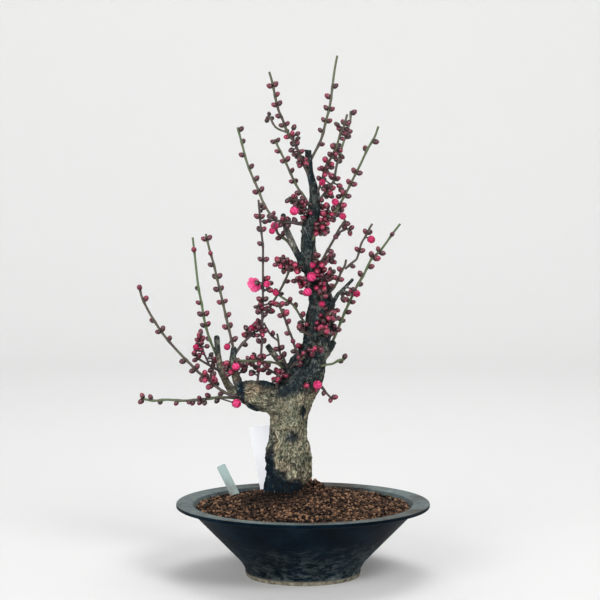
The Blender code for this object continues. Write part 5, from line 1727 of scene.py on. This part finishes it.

# %% [markdown]
# ## The labels and the drain net
#
# A grower marks each tree. Here a narrow strip of grey-green plastic stands in the soil at
# the left, and a wider white label leans behind the trunk. Both are die-cut sheet, so they
# are copies of the imported plates with their edges eased. They carry no writing. The white
# sheet is given a faint glow, painted light that keeps it bright in the trunk's shadow.

# %% Labels
LABEL_EASE = 0.22
UPPER_PART = 14


def eased_plate(node, corner):
    """A packed plate with its upper corners rounded and all its edges eased, in mm."""
    bm = merged_copy(node)
    bmesh.ops.dissolve_limit(bm, angle_limit=math.radians(1), verts=bm.verts, edges=bm.edges)
    top = max(vert.co.z for vert in bm.verts)
    through = [
        edge for edge in bm.edges
        if abs((edge.verts[0].co - edge.verts[1].co).normalized().y) > 0.9
        and edge.verts[0].co.z > top - UPPER_PART
    ]
    bmesh.ops.bevel(bm, geom=through, offset=corner, offset_type="OFFSET", segments=6, profile=0.5,
                    affect="EDGES", material=-1)
    edges = [edge for edge in bm.edges if edge.calc_face_angle(0) > math.radians(40)]
    bmesh.ops.bevel(bm, geom=edges, offset=LABEL_EASE, offset_type="OFFSET", segments=2, profile=0.5,
                    affect="EDGES", material=-1)
    return bm


def plastic(name, colour, soil_colour, rough, painted_glow=0.0):
    """Matt sheet plastic with soil smears near its foot, and a painted glow that lifts it out of shade."""
    made, tree, shader, here = new_material(
        name, roughness=rough, specular_ior_level=0.3, emission_color=srgb("#dce8ff"),
        emission_strength=painted_glow)
    smear = add(tree, "TexNoise", {"Vector": here, "Scale": every(8.3), "Detail": 6.0,
                                   "Roughness": 0.65})
    place_z = add(tree, "SeparateXYZ", {"Vector": here})
    low = add(tree, "MapRange", {"Value": place_z.outputs["Z"], "From Min": 0.095, "From Max": 0.074})
    spot = add(tree, "MapRange", {"Value": smear.outputs["Fac"], "From Min": 0.46, "From Max": 0.70})
    dirt = add(tree, "Math", {0: low.outputs["Result"], 1: spot.outputs["Result"]}, operation="MULTIPLY")
    tone = add(tree, "Mix", {0: dirt.outputs["Value"], 6: srgb(colour), 7: srgb(soil_colour)},
               data_type="RGBA")
    tree.links.new(tone.outputs[2], shader.inputs["Base Color"])
    return made


strip = plastic("grey_green_sheet_plastic", "#9bafad", "#7a7068", 0.5)
# The white label's glow is painted light, not a lamp.
sheet = plastic("white_sheet_plastic", "#fdfdff", "#c8c3bd", 0.32, painted_glow=0.17)
new_piece("marker_strip", eased_plate("label_stake", 1.2), [strip], ["label_stake"], sharp=30)
new_piece("white_label", eased_plate("label_tag", 2.2), [sheet], ["label_tag"], sharp=30)
print("both labels keep the sizes of the packed plates")

# %% Drain net, which stays under the soil
net = new_material("black_moulded_net", base_color=srgb("#202122"), roughness=0.6)[0]
nodes["drain_net"].data.materials.clear()
nodes["drain_net"].data.materials.append(net)
print("labels and net are in place")

# %% [markdown]
# ## The studio
#
# A bonsai is photographed in front of plain pale paper with no line where wall meets
# floor. Here the paper runs all round the tree, so that it can be looked at from every
# side: one outline of floor, bend and wall, turned about the upright axis. A large soft
# light stands at the upper right in front and a second one at the left. Two more hang
# above: one over the tree, and one that lights the paper behind it alone.

# %% Paper backdrop
PAPER_RADIUS = 3.4
PAPER_TOP = 3.2
PAPER_BEND = 1.2
PAPER_SEGMENTS = 128
BEND_STEPS = 16

paper = bmesh.new()
outline = [(0.0, 0.0)]
for step in range(BEND_STEPS + 1):
    turn = math.pi / 2 * step / BEND_STEPS
    outline.append((PAPER_RADIUS - PAPER_BEND * (1 - math.sin(turn)), PAPER_BEND * (1 - math.cos(turn))))
outline.append((PAPER_RADIUS, PAPER_TOP))
outline_verts = [paper.verts.new((radius, 0, z)) for radius, z in outline]
outline_edges = [paper.edges.new(pair) for pair in zip(outline_verts, outline_verts[1:])]
bmesh.ops.spin(
    paper, geom=outline_edges, cent=(0, 0, 0), axis=(0, 0, 1), dvec=(0, 0, 0),
    angle=math.tau, steps=PAPER_SEGMENTS, use_merge=True,
)
bmesh.ops.remove_doubles(paper, verts=paper.verts, dist=0.0005)
bmesh.ops.recalc_face_normals(paper, faces=paper.faces)
if min(paper.faces, key=lambda face: face.calc_center_median().z).normal.z < 0:
    bmesh.ops.reverse_faces(paper, faces=paper.faces)
mesh = as_mesh("paper_backdrop", paper)
mesh.shade_smooth()
mesh.materials.append(new_material("pale_paper", base_color=srgb("#dadad9"), roughness=0.95)[0])
floor = bpy.data.objects.new("paper_backdrop", mesh)
bpy.context.scene.collection.objects.link(floor)
print("the paper is", 2 * PAPER_RADIUS, "m across and", PAPER_TOP, "m high")

# %% Lights
SKY_STRENGTH = 0.40


def soft_light(name, power, size, place_at, aim):
    """A square soft light that shines at a point."""
    light = bpy.data.lights.new(name, "AREA")
    light.shape = "SQUARE"
    light.size = size
    light.energy = power
    thing = bpy.data.objects.new(name, light)
    bpy.context.scene.collection.objects.link(thing)
    thing.location = place_at
    thing.rotation_euler = (Vector(aim) - Vector(place_at)).to_track_quat("-Z", "Y").to_euler()


soft_light("key_softbox", 48, 1.1, (1.3, -2.0, 2.0), (0.0, 0.0, 0.22))
soft_light("fill_softbox", 46, 1.5, (-1.4, -2.2, 1.2), (0.0, 0.0, 0.25))
soft_light("top_softbox", 13, 1.0, (0.2, 0.2, 2.3), (0.0, 0.0, 0.2))
soft_light("paper_light", 42, 2.0, (0.0, 1.2, 3.0), (0.0, 3.4, 1.3))

world = bpy.data.worlds.new("studio")
world.use_nodes = True
world.node_tree.nodes["Background"].inputs["Color"].default_value = srgb("#e9ecef")
world.node_tree.nodes["Background"].inputs["Strength"].default_value = SKY_STRENGTH
bpy.context.scene.world = world
bpy.context.scene.view_settings.view_transform = "Standard"
print("four soft lights, and a sky with a strength of", SKY_STRENGTH)
